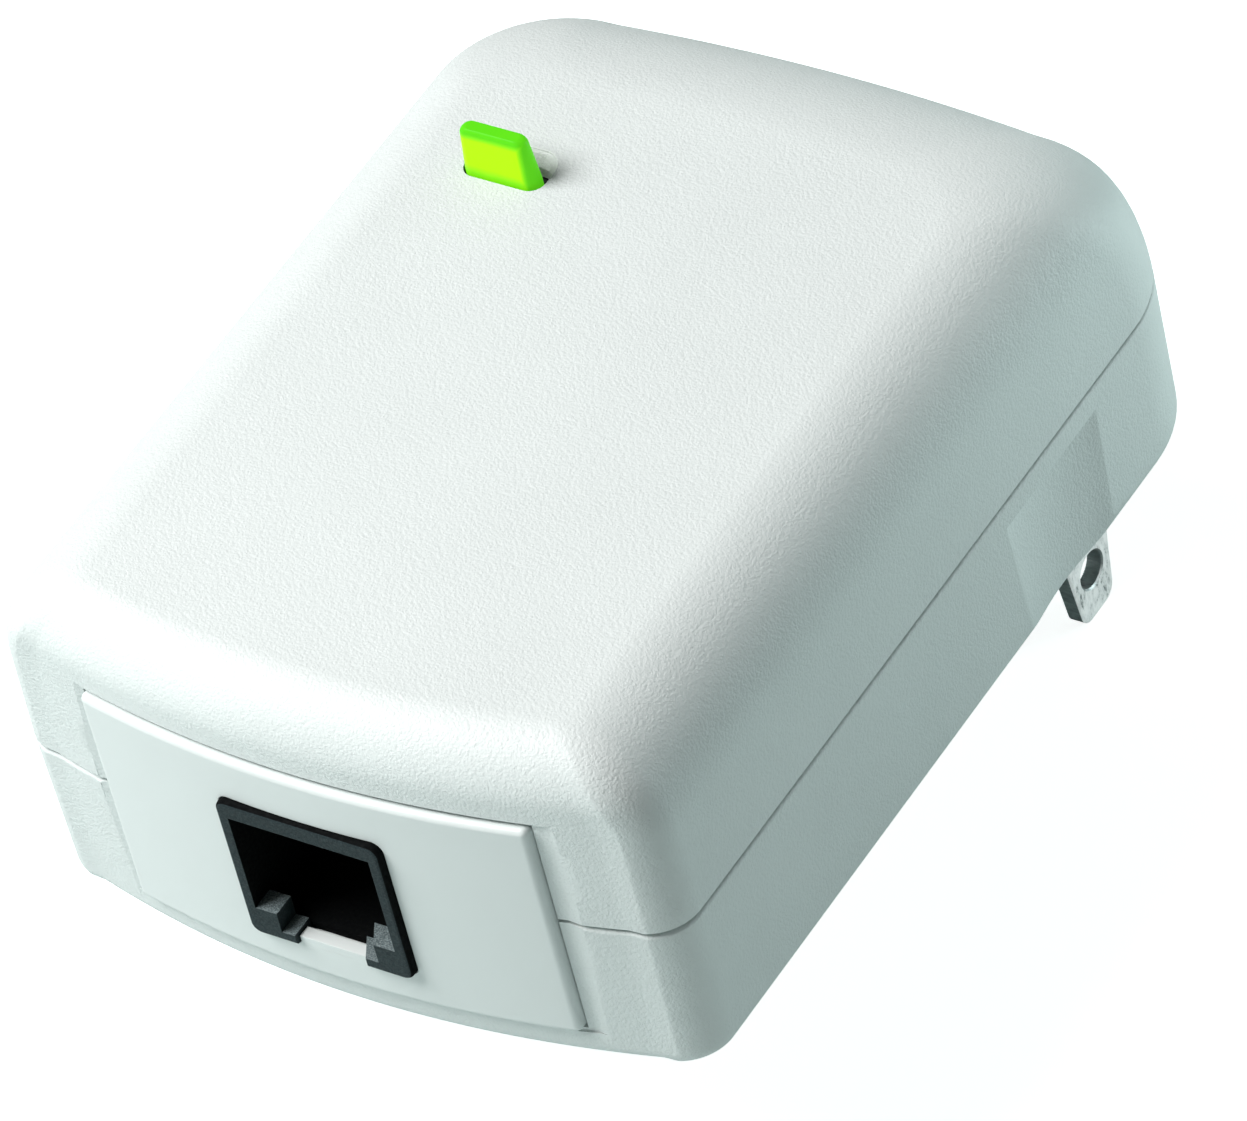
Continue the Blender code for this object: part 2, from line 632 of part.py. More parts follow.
def make_switch():
    case = place(box_mesh("switch_body", SWITCH_SIZE, SWITCH_SIZE, SWITCH_HEIGHT), "switch_body",
                 DARK_EPOXY, (KEY_X, KEY_Y, PART_Z + SWITCH_HEIGHT / 2))
    edge = 0.3 * MM
    bevel(case, edge, 1)
    hole = cone_mesh("plunger_well", PLUNGER_RADIUS + GAP, PLUNGER_RADIUS + GAP, SWITCH_WELL + REACH)
    top = PART_Z + SWITCH_HEIGHT
    boolean(case, place_cutter(hole, "plunger_well", (KEY_X, KEY_Y, top - SWITCH_WELL)))
    sunk = SWITCH_WELL - KEY_TRAVEL - GAP
    profile = [(0, PLUNGER_HEIGHT), (PLUNGER_RADIUS - edge, PLUNGER_HEIGHT),
               (PLUNGER_RADIUS, PLUNGER_HEIGHT - edge), (PLUNGER_RADIUS, -sunk), (0, -sunk)]
    turned("switch_plunger", profile, WHITE_SMOOTH, (KEY_X, KEY_Y, top), 20)


def make_status_led():
    dome = [(LED_RADIUS * math.cos(math.radians(a)), LED_DOME_Z + LED_RADIUS * math.sin(math.radians(a)))
            for a in (60, 30, 0)]
    profile = [(0, LED_DOME_Z + LED_RADIUS)] + dome + [
        (LED_RADIUS, LED_RIM_HEIGHT), (LED_RIM_RADIUS, LED_RIM_HEIGHT), (LED_RIM_RADIUS, 0), (0, 0)]
    turned("status_led", profile, LED_GREEN, (KEY_X + LED_OFFSET, KEY_Y, PART_Z), 16)


# ---------------------------------------------------------------- mains plug

def blade_outline():
    """Side view of a blade: (y, z), tapered to a rounded tip, with a solder tail inside."""
    half = BLADE_WIDTH / 2
    tip = BLADE_TIP_WIDTH / 2
    tail = BLADE_TAIL_WIDTH / 2
    corner = BLADE_TIP_CORNER
    low = -BLADE_LENGTH
    right = [(tip - corner, low), (tip - corner / 2, low + 0.14 * corner),
             (tip - 0.14 * corner, low + corner / 2), (tip, low + corner),
             (half, low + BLADE_TAPER_LENGTH), (half, BLADE_SHOULDER_Z), (tail, BLADE_SHOULDER_Z),
             (tail, BLADE_TAIL_Z)]
    return right + [(-y, z) for y, z in reversed(right)]


def make_blades():
    stand_up = (math.radians(90), 0, math.radians(90))
    for side, hand in ((-1, "left"), (1, "right")):
        name = "blade_" + hand
        x = PLUG_X + side * BLADE_SPACING / 2
        mesh = outline_mesh(name, blade_outline(), BLADE_THICKNESS)
        blade = place(mesh, name, PLATED, (x, PLUG_Y, 0), stand_up)
        hole = cone_mesh(name + "_hole", BLADE_HOLE_RADIUS, BLADE_HOLE_RADIUS, 4 * MM, 24)
        boolean(blade, place_cutter(hole, name + "_hole", (x - 2 * MM, PLUG_Y, -BLADE_HOLE_DEPTH),
                                    (0, math.radians(90), 0)))
        across = LEAD_END_X[hand] - x
        route = [(x + share * across, PLUG_Y - back, high) for share, back, high in LEAD_ROUTE]
        lead_name = "blade_lead_" + hand
        place(wire_mesh(lead_name, route, LEAD_RADIUS), lead_name, WIRE_BLACK)
    floor = WALL + GAP
    carrier = place(box_mesh("blade_carrier", CARRIER_WIDTH, CARRIER_DEPTH, CARRIER_TOP - floor),
                    "blade_carrier", CARRIER_WHITE, (PLUG_X, PLUG_Y, (floor + CARRIER_TOP) / 2))
    bevel(carrier, 0.5 * MM, 1)
    for side in (-1, 1):
        slot = box_mesh(f"carrier_slot_{side}", BLADE_THICKNESS + 2 * GAP, BLADE_WIDTH + 2 * GAP, 12 * MM)
        boolean(carrier, place_cutter(slot, f"carrier_slot_{side}",
                                      (PLUG_X + side * BLADE_SPACING / 2, PLUG_Y, 5 * MM)))


# ---------------------------------------------------------------- board and its parts

# name, material, (x, y) centre, (x, y, z) size, edge bevel; all in millimetres
BOARD_BLOCKS = [
    ("lan_magnetics", DARK_EPOXY, (0.5, 22.5), (12.7, 8.5, 6.0), 0.4),
    ("phy_chip", DARK_EPOXY, (-13.2, 19.0), (9.0, 9.0, 1.4), 0.15),
    ("memory_chip", DARK_EPOXY, (0.5, 31.5), (10.2, 6.0, 1.1), 0.15),
    ("powerline_chip", DARK_EPOXY, (-13.0, 39.5), (14.0, 14.0, 1.5), 0.15),
    ("bridge_rectifier", DARK_EPOXY, (-13.0, 62.3), (8.5, 6.0, 3.0), 0.3),
    ("optocoupler", DARK_EPOXY, (18.6, 20.5), (4.6, 6.5, 3.5), 0.2),
    ("buck_inductor", FERRITE, (9.5, 42.5), (7.0, 7.0, 4.2), 0.6),
    ("coupling_transformer", AMBER_TAPE, (1.0, 42.0), (9.0, 9.0, 7.5), 0.4),
    ("x_capacitor", FILM_YELLOW, (-10.5, 70.0), (13.0, 5.5, 11.0), 0.4),
    ("coupling_capacitor", FILM_YELLOW, (-1.0, 51.5), (10.0, 4.5, 8.0), 0.4),
]

# name, (x, y) centre, radius, height; electrolytic cans in millimetres
BOARD_CANS = [
    ("bulk_capacitor_1", (9.8, 53.4), 4.7, 16.0),
    ("bulk_capacitor_2", (18.8, 46.4), 4.5, 16.0),
    ("output_capacitor", (12.3, 18.6), 3.6, 11.5),
]

# name, material, (x, y) centre, radius, thickness, turned to face X or Y; millimetres
BOARD_DISCS = [
    ("varistor", CERAMIC_BLUE, (-1.7, 69.6), 3.8, 3.4, "X"),
    ("y_capacitor", CERAMIC_BLUE, (19.0, 39.6), 3.0, 2.4, "Y"),
]


def make_board():
    """The board's outline is an L: its tail passes beside the mains blades."""
    outline = [(-BOARD_HALF_WIDTH, BOARD_FRONT), (BOARD_HALF_WIDTH, BOARD_FRONT),
               (BOARD_HALF_WIDTH, BOARD_REAR), (TAIL_EDGE, BOARD_REAR), (TAIL_EDGE, BOARD_TAIL),
               (TAIL_CORNER_X, BOARD_TAIL), (-BOARD_HALF_WIDTH, TAIL_CORNER_Y)]
    mesh = outline_mesh("main_board", outline, BOARD_THICKNESS)
    board = place(mesh, "main_board", BOARD_GREEN, (0, 0, (BOARD_TOP + BOARD_BOTTOM) / 2))
    for i, (x, y) in enumerate(screw_places()):
        notch = cone_mesh(f"board_notch_{i}", BOARD_NOTCH_RADIUS, BOARD_NOTCH_RADIUS, 8 * MM, 24)
        boolean(board, place_cutter(notch, f"board_notch_{i}", (x, y, 0)))


def make_blocks():
    for name, material, (x, y), (wide, deep, high), edge in BOARD_BLOCKS:
        item = place(box_mesh(name, wide * MM, deep * MM, high * MM), name, material,
                     (x * MM, y * MM, PART_Z + high * MM / 2))
        bevel(item, edge * MM, 1)


def make_cans():
    for name, (x, y), radius, height in BOARD_CANS:
        crimp = 2.0
        neck = radius - 0.35
        shape = [(0, height), (radius - 0.6, height), (radius, height - 0.5), (radius, crimp + 0.6),
                 (neck, crimp + 0.2), (neck, crimp - 0.2), (radius, crimp - 0.7), (radius, 0), (0, 0)]
        turned(name, [(r * MM, z * MM) for r, z in shape], CAPACITOR_SLEEVE,
               (x * MM, y * MM, PART_Z), 28)


def make_discs():
    for name, material, (x, y), radius, thick, facing in BOARD_DISCS:
        half = thick / 2
        shape = [(0, half), (radius - 0.8, half), (radius, half - 0.8), (radius, 0.8 - half),
                 (radius - 0.8, -half), (0, -half)]
        tip = (0, math.radians(90), 0) if facing == "X" else (math.radians(90), 0, 0)
        turned(name, [(r * MM, z * MM) for r, z in shape], material,
               (x * MM, y * MM, PART_Z + (radius + 1.2) * MM), 24, tip)


def make_heat_spreader():
    """Finned plate on the powerline chip."""
    side = 14.0 * MM
    base = 1.4 * MM
    fin_height = 4.5 * MM
    x, y = -13.0 * MM, 39.5 * MM
    low = PART_Z + 1.5 * MM + GAP
    block = place(box_mesh("heat_spreader", side, side, base + fin_height), "heat_spreader",
                  CAN_METAL, (x, y, low + (base + fin_height) / 2))
    channels = 5
    pitch = side / channels
    for i in range(channels):
        cut = box_mesh(f"fin_channel_{i}", pitch * 0.6, side + 4 * MM, fin_height * 2)
        offset = (i - (channels - 1) / 2) * pitch
        boolean(block, place_cutter(cut, f"fin_channel_{i}", (x + offset, y, low + base + fin_height)))


def make_crystal():
    length, width, height = 11.0 * MM, 4.4 * MM, 3.6 * MM
    mesh = outline_mesh("crystal", rounded_rectangle(length, width, width / 2 - 0.05 * MM), height)
    item = place(mesh, "crystal", CAN_METAL, (-14.0 * MM, 28.2 * MM, PART_Z + height / 2))
    bevel(item, 0.3 * MM, 1)


def make_fuse():
    length = 7.4 * MM
    radius = 1.6 * MM
    cap = radius + 0.15 * MM
    ends = 1.8 * MM
    half = length / 2
    profile = [(0, half), (cap, half), (cap, half - ends), (radius, half - ends),
               (radius, ends - half), (cap, ends - half), (cap, -half), (0, -half)]
    turned("fuse", profile, CARRIER_WHITE, (-19.4 * MM, 66.4 * MM, PART_Z + cap), 20,
           (math.radians(90), 0, 0))


def make_choke():
    """Drum choke: a ferrite spool with its winding round the waist."""
    x, y = -3.9 * MM, 61.0 * MM
    flange, waist, height, lip = 4.2 * MM, 2.0 * MM, 8.0 * MM, 1.2 * MM
    profile = [(0, height), (flange, height), (flange, height - lip), (waist, height - lip),
               (waist, lip), (flange, lip), (flange, 0), (0, 0)]
    turned("choke_core", profile, FERRITE, (x, y, PART_Z), 28)
    make_ring("choke_winding", COPPER, (x, y, PART_Z + height / 2), waist + GAP, 3.6 * MM,
              height - 2 * lip - 2 * GAP)


def make_ring(name, material, location, inner, outer, height):
    ring = place(cone_mesh(name, outer, outer, height, 28), name, material,
                 (location[0], location[1], location[2] - height / 2))
    bore = cone_mesh(name + "_bore", inner, inner, height + 2 * MM, 28)
    boolean(ring, place_cutter(bore, name + "_bore",
                               (location[0], location[1], location[2] - height / 2 - 1 * MM)))


def make_transformer():
    """E-core transformer: base, core with two windows, and the winding on its middle leg."""
    x, y = 15.0 * MM, 31.0 * MM
    base_high = 2.0 * MM
    base = place(box_mesh("transformer_bobbin", 15.0 * MM, 13.0 * MM, base_high),
                 "transformer_bobbin", DARK_EPOXY, (x, y, PART_Z + base_high / 2))
    bevel(base, 0.3 * MM, 1)
    core_low = PART_Z + base_high + GAP
    core_high = 13.0 * MM
    leg = 2.0 * MM
    window_wide, window_high = 3.7 * MM, 8.0 * MM
    core_mid = core_low + core_high / 2
    core = place(box_mesh("transformer_core", 15.4 * MM, 6.0 * MM, core_high), "transformer_core",
                 FERRITE, (x, y, core_mid))
    for side in (-1, 1):
        window = box_mesh(f"core_window_{side}", window_wide, 10 * MM, window_high)
        offset = side * (leg + window_wide / 2)
        boolean(core, place_cutter(window, f"core_window_{side}", (x + offset, y, core_mid)))
    wind_high = window_high - 2 * GAP
    outer = rounded_rectangle(2 * (leg + window_wide - GAP), 12.4 * MM, 1.5 * MM, 3)
    winding = place(outline_mesh("transformer_winding", outer, wind_high), "transformer_winding",
                    AMBER_TAPE, (x, y, core_mid))
    bore = box_mesh("winding_bore", 2 * (leg + GAP), 6.0 * MM + 2 * GAP, wind_high + 2 * MM)
    boolean(winding, place_cutter(bore, "winding_bore", (x, y, core_mid)))


def make_screws():
    head_top = SCREW_HEAD_HEIGHT
    profile = [(0, SCREW_LENGTH), (SCREW_RADIUS * 0.6, SCREW_LENGTH), (SCREW_RADIUS, SCREW_LENGTH - 1 * MM),
               (SCREW_RADIUS, head_top), (SCREW_HEAD_RADIUS, head_top), (SCREW_HEAD_RADIUS, 0.5 * MM),
               (SCREW_HEAD_RADIUS - 0.5 * MM, 0), (0, 0)]
    for i, (x, y) in enumerate(screw_places()):
        turned(f"case_screw_{i + 1}", profile, STEEL, (x, y, HEAD_RECESS), 20)


def build():
    make_front_cover()
    make_rear_cover()
    make_jack_plate()
    make_jack()
    make_pairing_button()
    make_switch()
    make_status_led()
    make_blades()
    make_board()
    make_blocks()
    make_cans()
    make_discs()
    make_heat_spreader()
    make_crystal()
    make_fuse()
    make_choke()
    make_transformer()
    make_screws()


build()
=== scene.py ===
"""Looks for the plug-in powerline adapter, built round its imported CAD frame.

Pieces are laid out in "body" coordinates, in metres: x = 0 on the case's centre plane, y = 0
at the middle of the bowed jack end and z = 0 on the flat back face. TO_FRAME takes them to the
frame's own coordinates, whose origin lies between the two mains blades.
"""
import math

import bmesh
import bpy
from mathutils import Matrix, Vector


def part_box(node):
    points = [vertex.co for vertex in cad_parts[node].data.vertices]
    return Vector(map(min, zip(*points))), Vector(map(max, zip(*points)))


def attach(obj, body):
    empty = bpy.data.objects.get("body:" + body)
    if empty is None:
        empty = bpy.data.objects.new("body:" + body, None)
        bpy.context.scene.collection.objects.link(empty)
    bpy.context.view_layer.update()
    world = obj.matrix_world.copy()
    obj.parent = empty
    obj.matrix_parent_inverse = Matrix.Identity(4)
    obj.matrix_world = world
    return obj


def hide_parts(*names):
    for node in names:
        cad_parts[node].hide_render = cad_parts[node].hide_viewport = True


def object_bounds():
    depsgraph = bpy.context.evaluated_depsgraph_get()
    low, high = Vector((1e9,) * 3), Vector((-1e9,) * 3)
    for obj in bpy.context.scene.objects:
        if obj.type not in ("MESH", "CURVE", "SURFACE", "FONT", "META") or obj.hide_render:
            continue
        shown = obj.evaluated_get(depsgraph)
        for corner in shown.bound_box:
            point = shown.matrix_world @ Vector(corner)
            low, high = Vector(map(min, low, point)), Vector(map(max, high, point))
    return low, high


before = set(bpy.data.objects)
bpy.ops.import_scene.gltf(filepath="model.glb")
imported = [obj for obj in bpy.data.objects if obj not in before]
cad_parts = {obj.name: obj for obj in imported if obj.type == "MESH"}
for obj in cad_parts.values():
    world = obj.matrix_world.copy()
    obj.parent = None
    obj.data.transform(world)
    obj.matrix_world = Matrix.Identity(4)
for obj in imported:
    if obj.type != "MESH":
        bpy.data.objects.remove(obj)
CAD_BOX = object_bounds()
MM = 0.001

# ---------------------------------------------------------------- sizes from the frame

REAR_LOW, REAR_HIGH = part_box("rear_cover")
PLATE_LOW, PLATE_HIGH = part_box("jack_plate")
JACK_LOW, JACK_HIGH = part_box("rj45_housing")
BLADE_LOW, BLADE_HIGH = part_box("blade_right")
SCREW_LOW, SCREW_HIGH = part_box("case_screw_1")
BUTTON_LOW, BUTTON_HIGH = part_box("pairing_button")

ORIGIN_X = (REAR_LOW.x + REAR_HIGH.x) / 2
PLUG_X = -ORIGIN_X
PLUG_Y = 67.0 * MM
TO_FRAME = Matrix.Translation((-PLUG_X, -PLUG_Y, 0))

CASE_WIDTH = REAR_HIGH.x - REAR_LOW.x
CASE_LENGTH = 79.1 * MM
CASE_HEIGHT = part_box("front_cover")[1].z
GAP = 0.3 * MM

# Case shape
PARTING_Z = 13.8 * MM
PARTING_GAP = 0.3 * MM
WALL = 2.0 * MM
LIP_INSET = 1.3 * MM
LIP_INNER = 2.2 * MM
LIP_HEIGHT = 1.2 * MM
DRAFT = math.radians(0.9)
FRONT_BOW_RADIUS = 94.0 * MM
REAR_BOW_RADIUS = 180.0 * MM
FRONT_CORNER = 3.8 * MM
REAR_CORNER = 10.4 * MM
SIDE_ROUND = 7.6 * MM
FRONT_ROUND = 4.7 * MM
REAR_ROUND = 15.6 * MM
BASE_ROUND = 1.4 * MM
LEAST_ROUND = 0.4 * MM
FRONT_EDGE_ROUND = 0.08 * MM
REAR_EDGE_ROUND = 0.3 * MM

# End plate and jack
PLATE_HALF_WIDTH = (PLATE_HIGH.x - PLATE_LOW.x) / 2
PLATE_BOTTOM = PLATE_LOW.z
PLATE_TOP = PLATE_HIGH.z
PLATE_PROUD = 0.4 * MM
PLATE_THICKNESS = 2.6 * MM
PLATE_ROUND = 1.05 * MM
PLATE_GAP = 0.08 * MM
PLATE_SEAT = 3.5 * MM
REBATE_LEFT = 1.1 * MM
REBATE_RIGHT = 2.05 * MM
REBATE_FLAT = 0.85 * MM
REBATE_OUTER_DEPTH = 0.04 * MM
REBATE_INNER_DEPTH = 0.38 * MM
REBATE_END = 0.35 * MM
TONGUE_DROP = 0.35 * MM
TONGUE_THICKNESS = 1.0 * MM
TONGUE_SET_BACK = 0.02 * MM
TONGUE_EDGE = 0.04 * MM
JACK_WIDTH = JACK_HIGH.x - JACK_LOW.x
JACK_BOTTOM = JACK_LOW.z
JACK_TOP = JACK_HIGH.z
JACK_HEIGHT = JACK_TOP - JACK_BOTTOM
JACK_FRONT = JACK_LOW.y + PLUG_Y
JACK_DEPTH = JACK_HIGH.y - JACK_LOW.y
JACK_ROUND = 0.35 * MM
JACK_CORNER = 0.9 * MM
JACK_GAP = 0.06 * MM
PORT_TOP = JACK_TOP - 1.47 * MM
PORT_WIDTH = 11.8 * MM
PORT_DEPTH = 13.5 * MM
SHOULDER_Z = PORT_TOP - 9.05 * MM
STEP_Z = SHOULDER_Z - 1.8 * MM
STEP_WIDTH = 8.2 * MM
LATCH_WIDTH = 6.0 * MM
LEDGE_DEPTH = 1.9 * MM
LEDGE_SLANT = 1.1 * MM
PORT_FLOOR = 0.7 * MM

# Pairing button and its slot
KEY_X = -13.4 * MM
KEY_Y = 52.85 * MM
KEY_WIDTH = 6.3 * MM
KEY_THICKNESS = 1.9 * MM
KEY_TOP_WIDTH = 5.6 * MM
KEY_TOP_THICKNESS = 1.3 * MM
KEY_TOP_ROUND = 0.62 * MM
KEY_BODY = 0.45
KEY_EDGE_SHARE = 0.38
KEY_FLANGE = 1.2 * MM
KEY_OVERLAP = 0.9 * MM
KEY_SIDE_RIM = (2.4 * MM, 2.95 * MM)
KEY_TOP_RIM = (3.2 * MM, 3.8 * MM)
KEY_FOOT_RIM = (0.2 * MM, 1.0 * MM)
KEY_GLOW_SHIFT = 0.25 * MM
KEY_GLOW = 0.62
SLOT_X = -13.3 * MM
SLOT_FRONT = 51.72 * MM
SLOT_BACK = 56.05 * MM
SLOT_WIDTH = 6.9 * MM
SLOT_FRONT_CORNER = 1.2 * MM
SLOT_BACK_CORNER = 1.9 * MM
SLOT_ROUND = 0.12 * MM
SLOT_THROAT = 55.2 * MM
SLOT_THROAT_INSET = 0.1 * MM

# Finger scoops
SCOOP_Y = 55.05 * MM
SCOOP_LENGTH = 13.3 * MM
SCOOP_DEPTH = 1.1 * MM
SCOOP_TOP = PARTING_Z - 2.05 * MM
SCOOP_RADIUS = (SCOOP_LENGTH ** 2 / 4 + SCOOP_DEPTH ** 2) / (2 * SCOOP_DEPTH)

# Mains blades
BLADE_SPACING = 12.7 * MM
BLADE_WIDTH = BLADE_HIGH.y - BLADE_LOW.y
BLADE_THICKNESS = BLADE_HIGH.x - BLADE_LOW.x
BLADE_LENGTH = -BLADE_LOW.z
BLADE_TIP_WIDTH = 4.6 * MM
BLADE_TAPER_LENGTH = 8.4 * MM
BLADE_TIP_ROUND = 1.3 * MM
BLADE_EDGE = 0.07 * MM
BLADE_TIP_CHAMFER = 0.32 * MM
BLADE_EDGE_DEPTH = 0.12 * MM
BLADE_HOLE_FLARE = 0.14 * MM
BLADE_HOLE_DEPTH = 12.5 * MM
BLADE_HOLE_RADIUS = 1.5 * MM
BLADE_SHOULDER_Z = 7.0 * MM
BLADE_TAIL_WIDTH = 3.0 * MM

# Screws and the posts and bosses that hold them
SCREW_X = 22.4 * MM
SCREW_ROWS = (12.5 * MM, 58.5 * MM)
SCREW_RADIUS = 1.25 * MM
SCREW_HEAD_RADIUS = (SCREW_HIGH.x - SCREW_LOW.x) / 2
SCREW_HEAD_HEIGHT = 1.5 * MM
SCREW_LENGTH = SCREW_HIGH.z - SCREW_LOW.z
SCREW_PITCH = 0.9 * MM
HEAD_RECESS = SCREW_LOW.z
SCREW_SEAT_Z = HEAD_RECESS + SCREW_HEAD_HEIGHT + GAP + 2.0 * MM
POST_RADIUS = 2.7 * MM
POST_TOP = 25.8 * MM
BOSS_WALL = 1.0 * MM

CROSS_ARM = 1.45 * MM
CROSS_HALF_WIDTH = 0.32 * MM
CROSS_DEPTH = 1.1 * MM
CROSS_TAPER = 0.55

# How far cutters reach past what they cut
REACH = 1.0 * MM
CLEAR = 4.0 * MM

# Studio
FLOOR_Z = CAD_BOX[0].z - 0.1 * MM
FLOOR_HALF = 3.0
FLOOR_GLOW = 0.87
LIT_POINT = Vector((ORIGIN_X, -28 * MM, 10 * MM))
SKY_COLOUR = (0.95, 1.0, 0.99, 1.0)
SKY_STRENGTH = 0.07
CAMERA_PLACE = (0.37258, -0.45873, 0.54585)
CAMERA_TURN = (46.05, 10.94, 31.42)
CAMERA_LENS = 317.06


# ---------------------------------------------------------------- materials

class Finish:
    """A Principled material, with short calls for the nodes that feed it."""

    def __init__(self, name, colour, roughness, metallic=0.0, **inputs):
        self.material = bpy.data.materials.new(name)
        self.material.use_nodes = True
        self.tree = self.material.node_tree
        self.shader = self.tree.nodes["Principled BSDF"]
        self.colour = (*colour, 1.0)
        self.shader.inputs["Base Color"].default_value = self.colour
        self.shader.inputs["Roughness"].default_value = roughness
        self.shader.inputs["Metallic"].default_value = metallic
        for socket, value in inputs.items():
            self.shader.inputs[socket.replace("_", " ")].default_value = value
        self.place = self.tree.nodes.new("ShaderNodeTexCoord").outputs["Object"]

    def link(self, output, socket):
        self.tree.links.new(output, socket)

    def stretched(self, scale):
        mapping = self.tree.nodes.new("ShaderNodeMapping")
        mapping.inputs["Scale"].default_value = scale
        self.link(self.place, mapping.inputs["Vector"])
        return mapping.outputs["Vector"]

    def noise(self, size, detail=2.0, roughness=0.5, place=None):
        """Noise whose features are about size metres across."""
        node = self.tree.nodes.new("ShaderNodeTexNoise")
        node.inputs["Scale"].default_value = 1 / size
        node.inputs["Detail"].default_value = detail
        node.inputs["Roughness"].default_value = roughness
        self.link(place or self.place, node.inputs["Vector"])
        return node.outputs["Fac"]

    def cells(self, size, smooth=0.6):
        node = self.tree.nodes.new("ShaderNodeTexVoronoi")
        node.feature = "SMOOTH_F1"
        node.inputs["Scale"].default_value = 1 / size
        node.inputs["Smoothness"].default_value = smooth
        self.link(self.place, node.inputs["Vector"])
        return node.outputs["Distance"]

    def waves(self, size, direction="Z", distortion=0.0):
        node = self.tree.nodes.new("ShaderNodeTexWave")
        node.bands_direction = direction
        node.inputs["Scale"].default_value = 1 / size
        node.inputs["Distortion"].default_value = distortion
        self.link(self.place, node.inputs["Vector"])
        return node.outputs["Fac"]

    def between(self, factor, low, high, start=0.0, end=1.0):
        """A number that goes from low to high as factor goes from start to end."""
        node = self.tree.nodes.new("ShaderNodeMapRange")
        node.inputs["From Min"].default_value = start
        node.inputs["From Max"].default_value = end
        node.inputs["To Min"].default_value = low
        node.inputs["To Max"].default_value = high
        self.link(factor, node.inputs["Value"])
        return node.outputs["Result"]

    def ramp(self, factor, stops):
        node = self.tree.nodes.new("ShaderNodeValToRGB")
        elements = node.color_ramp.elements
        while len(elements) < len(stops):
            elements.new(0.5)
        for element, (position, colour) in zip(elements, stops):
            element.position = position
            element.color = (*colour, 1.0)
        self.link(factor, node.inputs["Fac"])
        return node.outputs["Color"]

    def math(self, operation, first, second):
        node = self.tree.nodes.new("ShaderNodeMath")
        node.operation = operation
        for socket, value in zip(node.inputs, (first, second)):
            if isinstance(value, (int, float)):
                socket.default_value = value
            else:
                self.link(value, socket)
        return node.outputs["Value"]

    def bump(self, height, strength, distance, onto=None):
        node = self.tree.nodes.new("ShaderNodeBump")
        node.inputs["Strength"].default_value = strength
        node.inputs["Distance"].default_value = distance
        self.link(height, node.inputs["Height"])
        if onto is not None:
            self.link(onto, node.inputs["Normal"])
        self.link(node.outputs["Normal"], self.shader.inputs["Normal"])

    def soft_edges(self, radius):
        """A normal that rounds sharp edges over a radius, to put a bump onto."""
        node = self.tree.nodes.new("ShaderNodeBevel")
        node.samples = 4
        node.inputs["Radius"].default_value = radius
        return node.outputs["Normal"]

    def varied(self, factor, amount):
        """Lets a noise move the base colour by a share of itself."""
        low = tuple(max(c * (1 - amount), 0) for c in self.colour[:3])
        high = tuple(min(c * (1 + amount), 1) for c in self.colour[:3])
        self.link(self.ramp(factor, [(0.3, low), (0.7, high)]), self.shader.inputs["Base Color"])

    def rough(self, factor, low, high, start=0.3, end=0.7):
        self.link(self.between(factor, low, high, start, end), self.shader.inputs["Roughness"])


def shell_finish():
    """Spark-eroded white moulding: fine rounded pebbles over a faint large unevenness."""
    f = Finish("shell_plastic", (0.665, 0.715, 0.705), 0.5, IOR=1.46)
    pebbles = f.cells(0.26 * MM, 0.5)
    grain = f.noise(0.13 * MM, 2.0, 0.6)
    height = f.math("ADD", f.math("MULTIPLY", pebbles, -0.7), f.math("MULTIPLY", grain, 0.9))
    f.bump(height, 0.7, 0.07 * MM)
    f.varied(f.noise(9 * MM, 3.0), 0.012)
    f.rough(f.noise(1.1 * MM, 2.0), 0.44, 0.56)
    return f.material


def plate_finish():
    """Polished white moulding with the slight waviness of a gloss tool."""
    f = Finish("plate_plastic", (0.675, 0.725, 0.715), 0.32, IOR=1.46)
    f.bump(f.noise(4 * MM, 1.0), 0.05, 0.05 * MM, f.soft_edges(0.08 * MM))
    f.varied(f.noise(9 * MM, 2.0), 0.008)
    f.rough(f.noise(2.5 * MM, 2.0), 0.3, 0.36)
    return f.material


def nylon_finish(name, ground, fleck, roughness, gloss=0.35):
    """Glass-filled nylon: pale specks on a dark ground."""
    f = Finish(name, ground, roughness, IOR=1.45)
    f.shader.inputs["Specular IOR Level"].default_value = gloss
    specks = f.noise(0.11 * MM, 3.0, 0.7)
    middle = tuple((g + h) / 2 for g, h in zip(ground, fleck))
    colour = f.ramp(specks, [(0.40, ground), (0.60, middle), (0.74, fleck)])
    f.link(colour, f.shader.inputs["Base Color"])
    f.bump(f.noise(0.16 * MM, 2.0, 0.6), 0.35, 0.03 * MM, f.soft_edges(0.07 * MM))
    f.rough(f.noise(0.3 * MM, 2.0), roughness * 0.85, roughness * 1.15)
    return f.material


def jack_finish():
    return nylon_finish("jack_plastic", (0.004, 0.011, 0.0135), (0.031, 0.052, 0.057), 0.62)


# Painted light: a paler copy of the jack's nylon for the tops of the ledges, standing in for the light that
# falls on them near the port's mouth.
def painted_light_ledge_finish():
    return nylon_finish("jack_ledge_painted_light", (0.055, 0.078, 0.082), (0.33, 0.40, 0.41), 0.65)


# Painted shade: a near-black, low-gloss copy of the jack's nylon for the jack's sides and the inside of the
# port, standing in for the shade there.
def painted_shade_port_finish():
    return nylon_finish("jack_inside_painted_shade", (0.0006, 0.001, 0.0012), (0.002, 0.003, 0.0034), 0.85, 0.12)


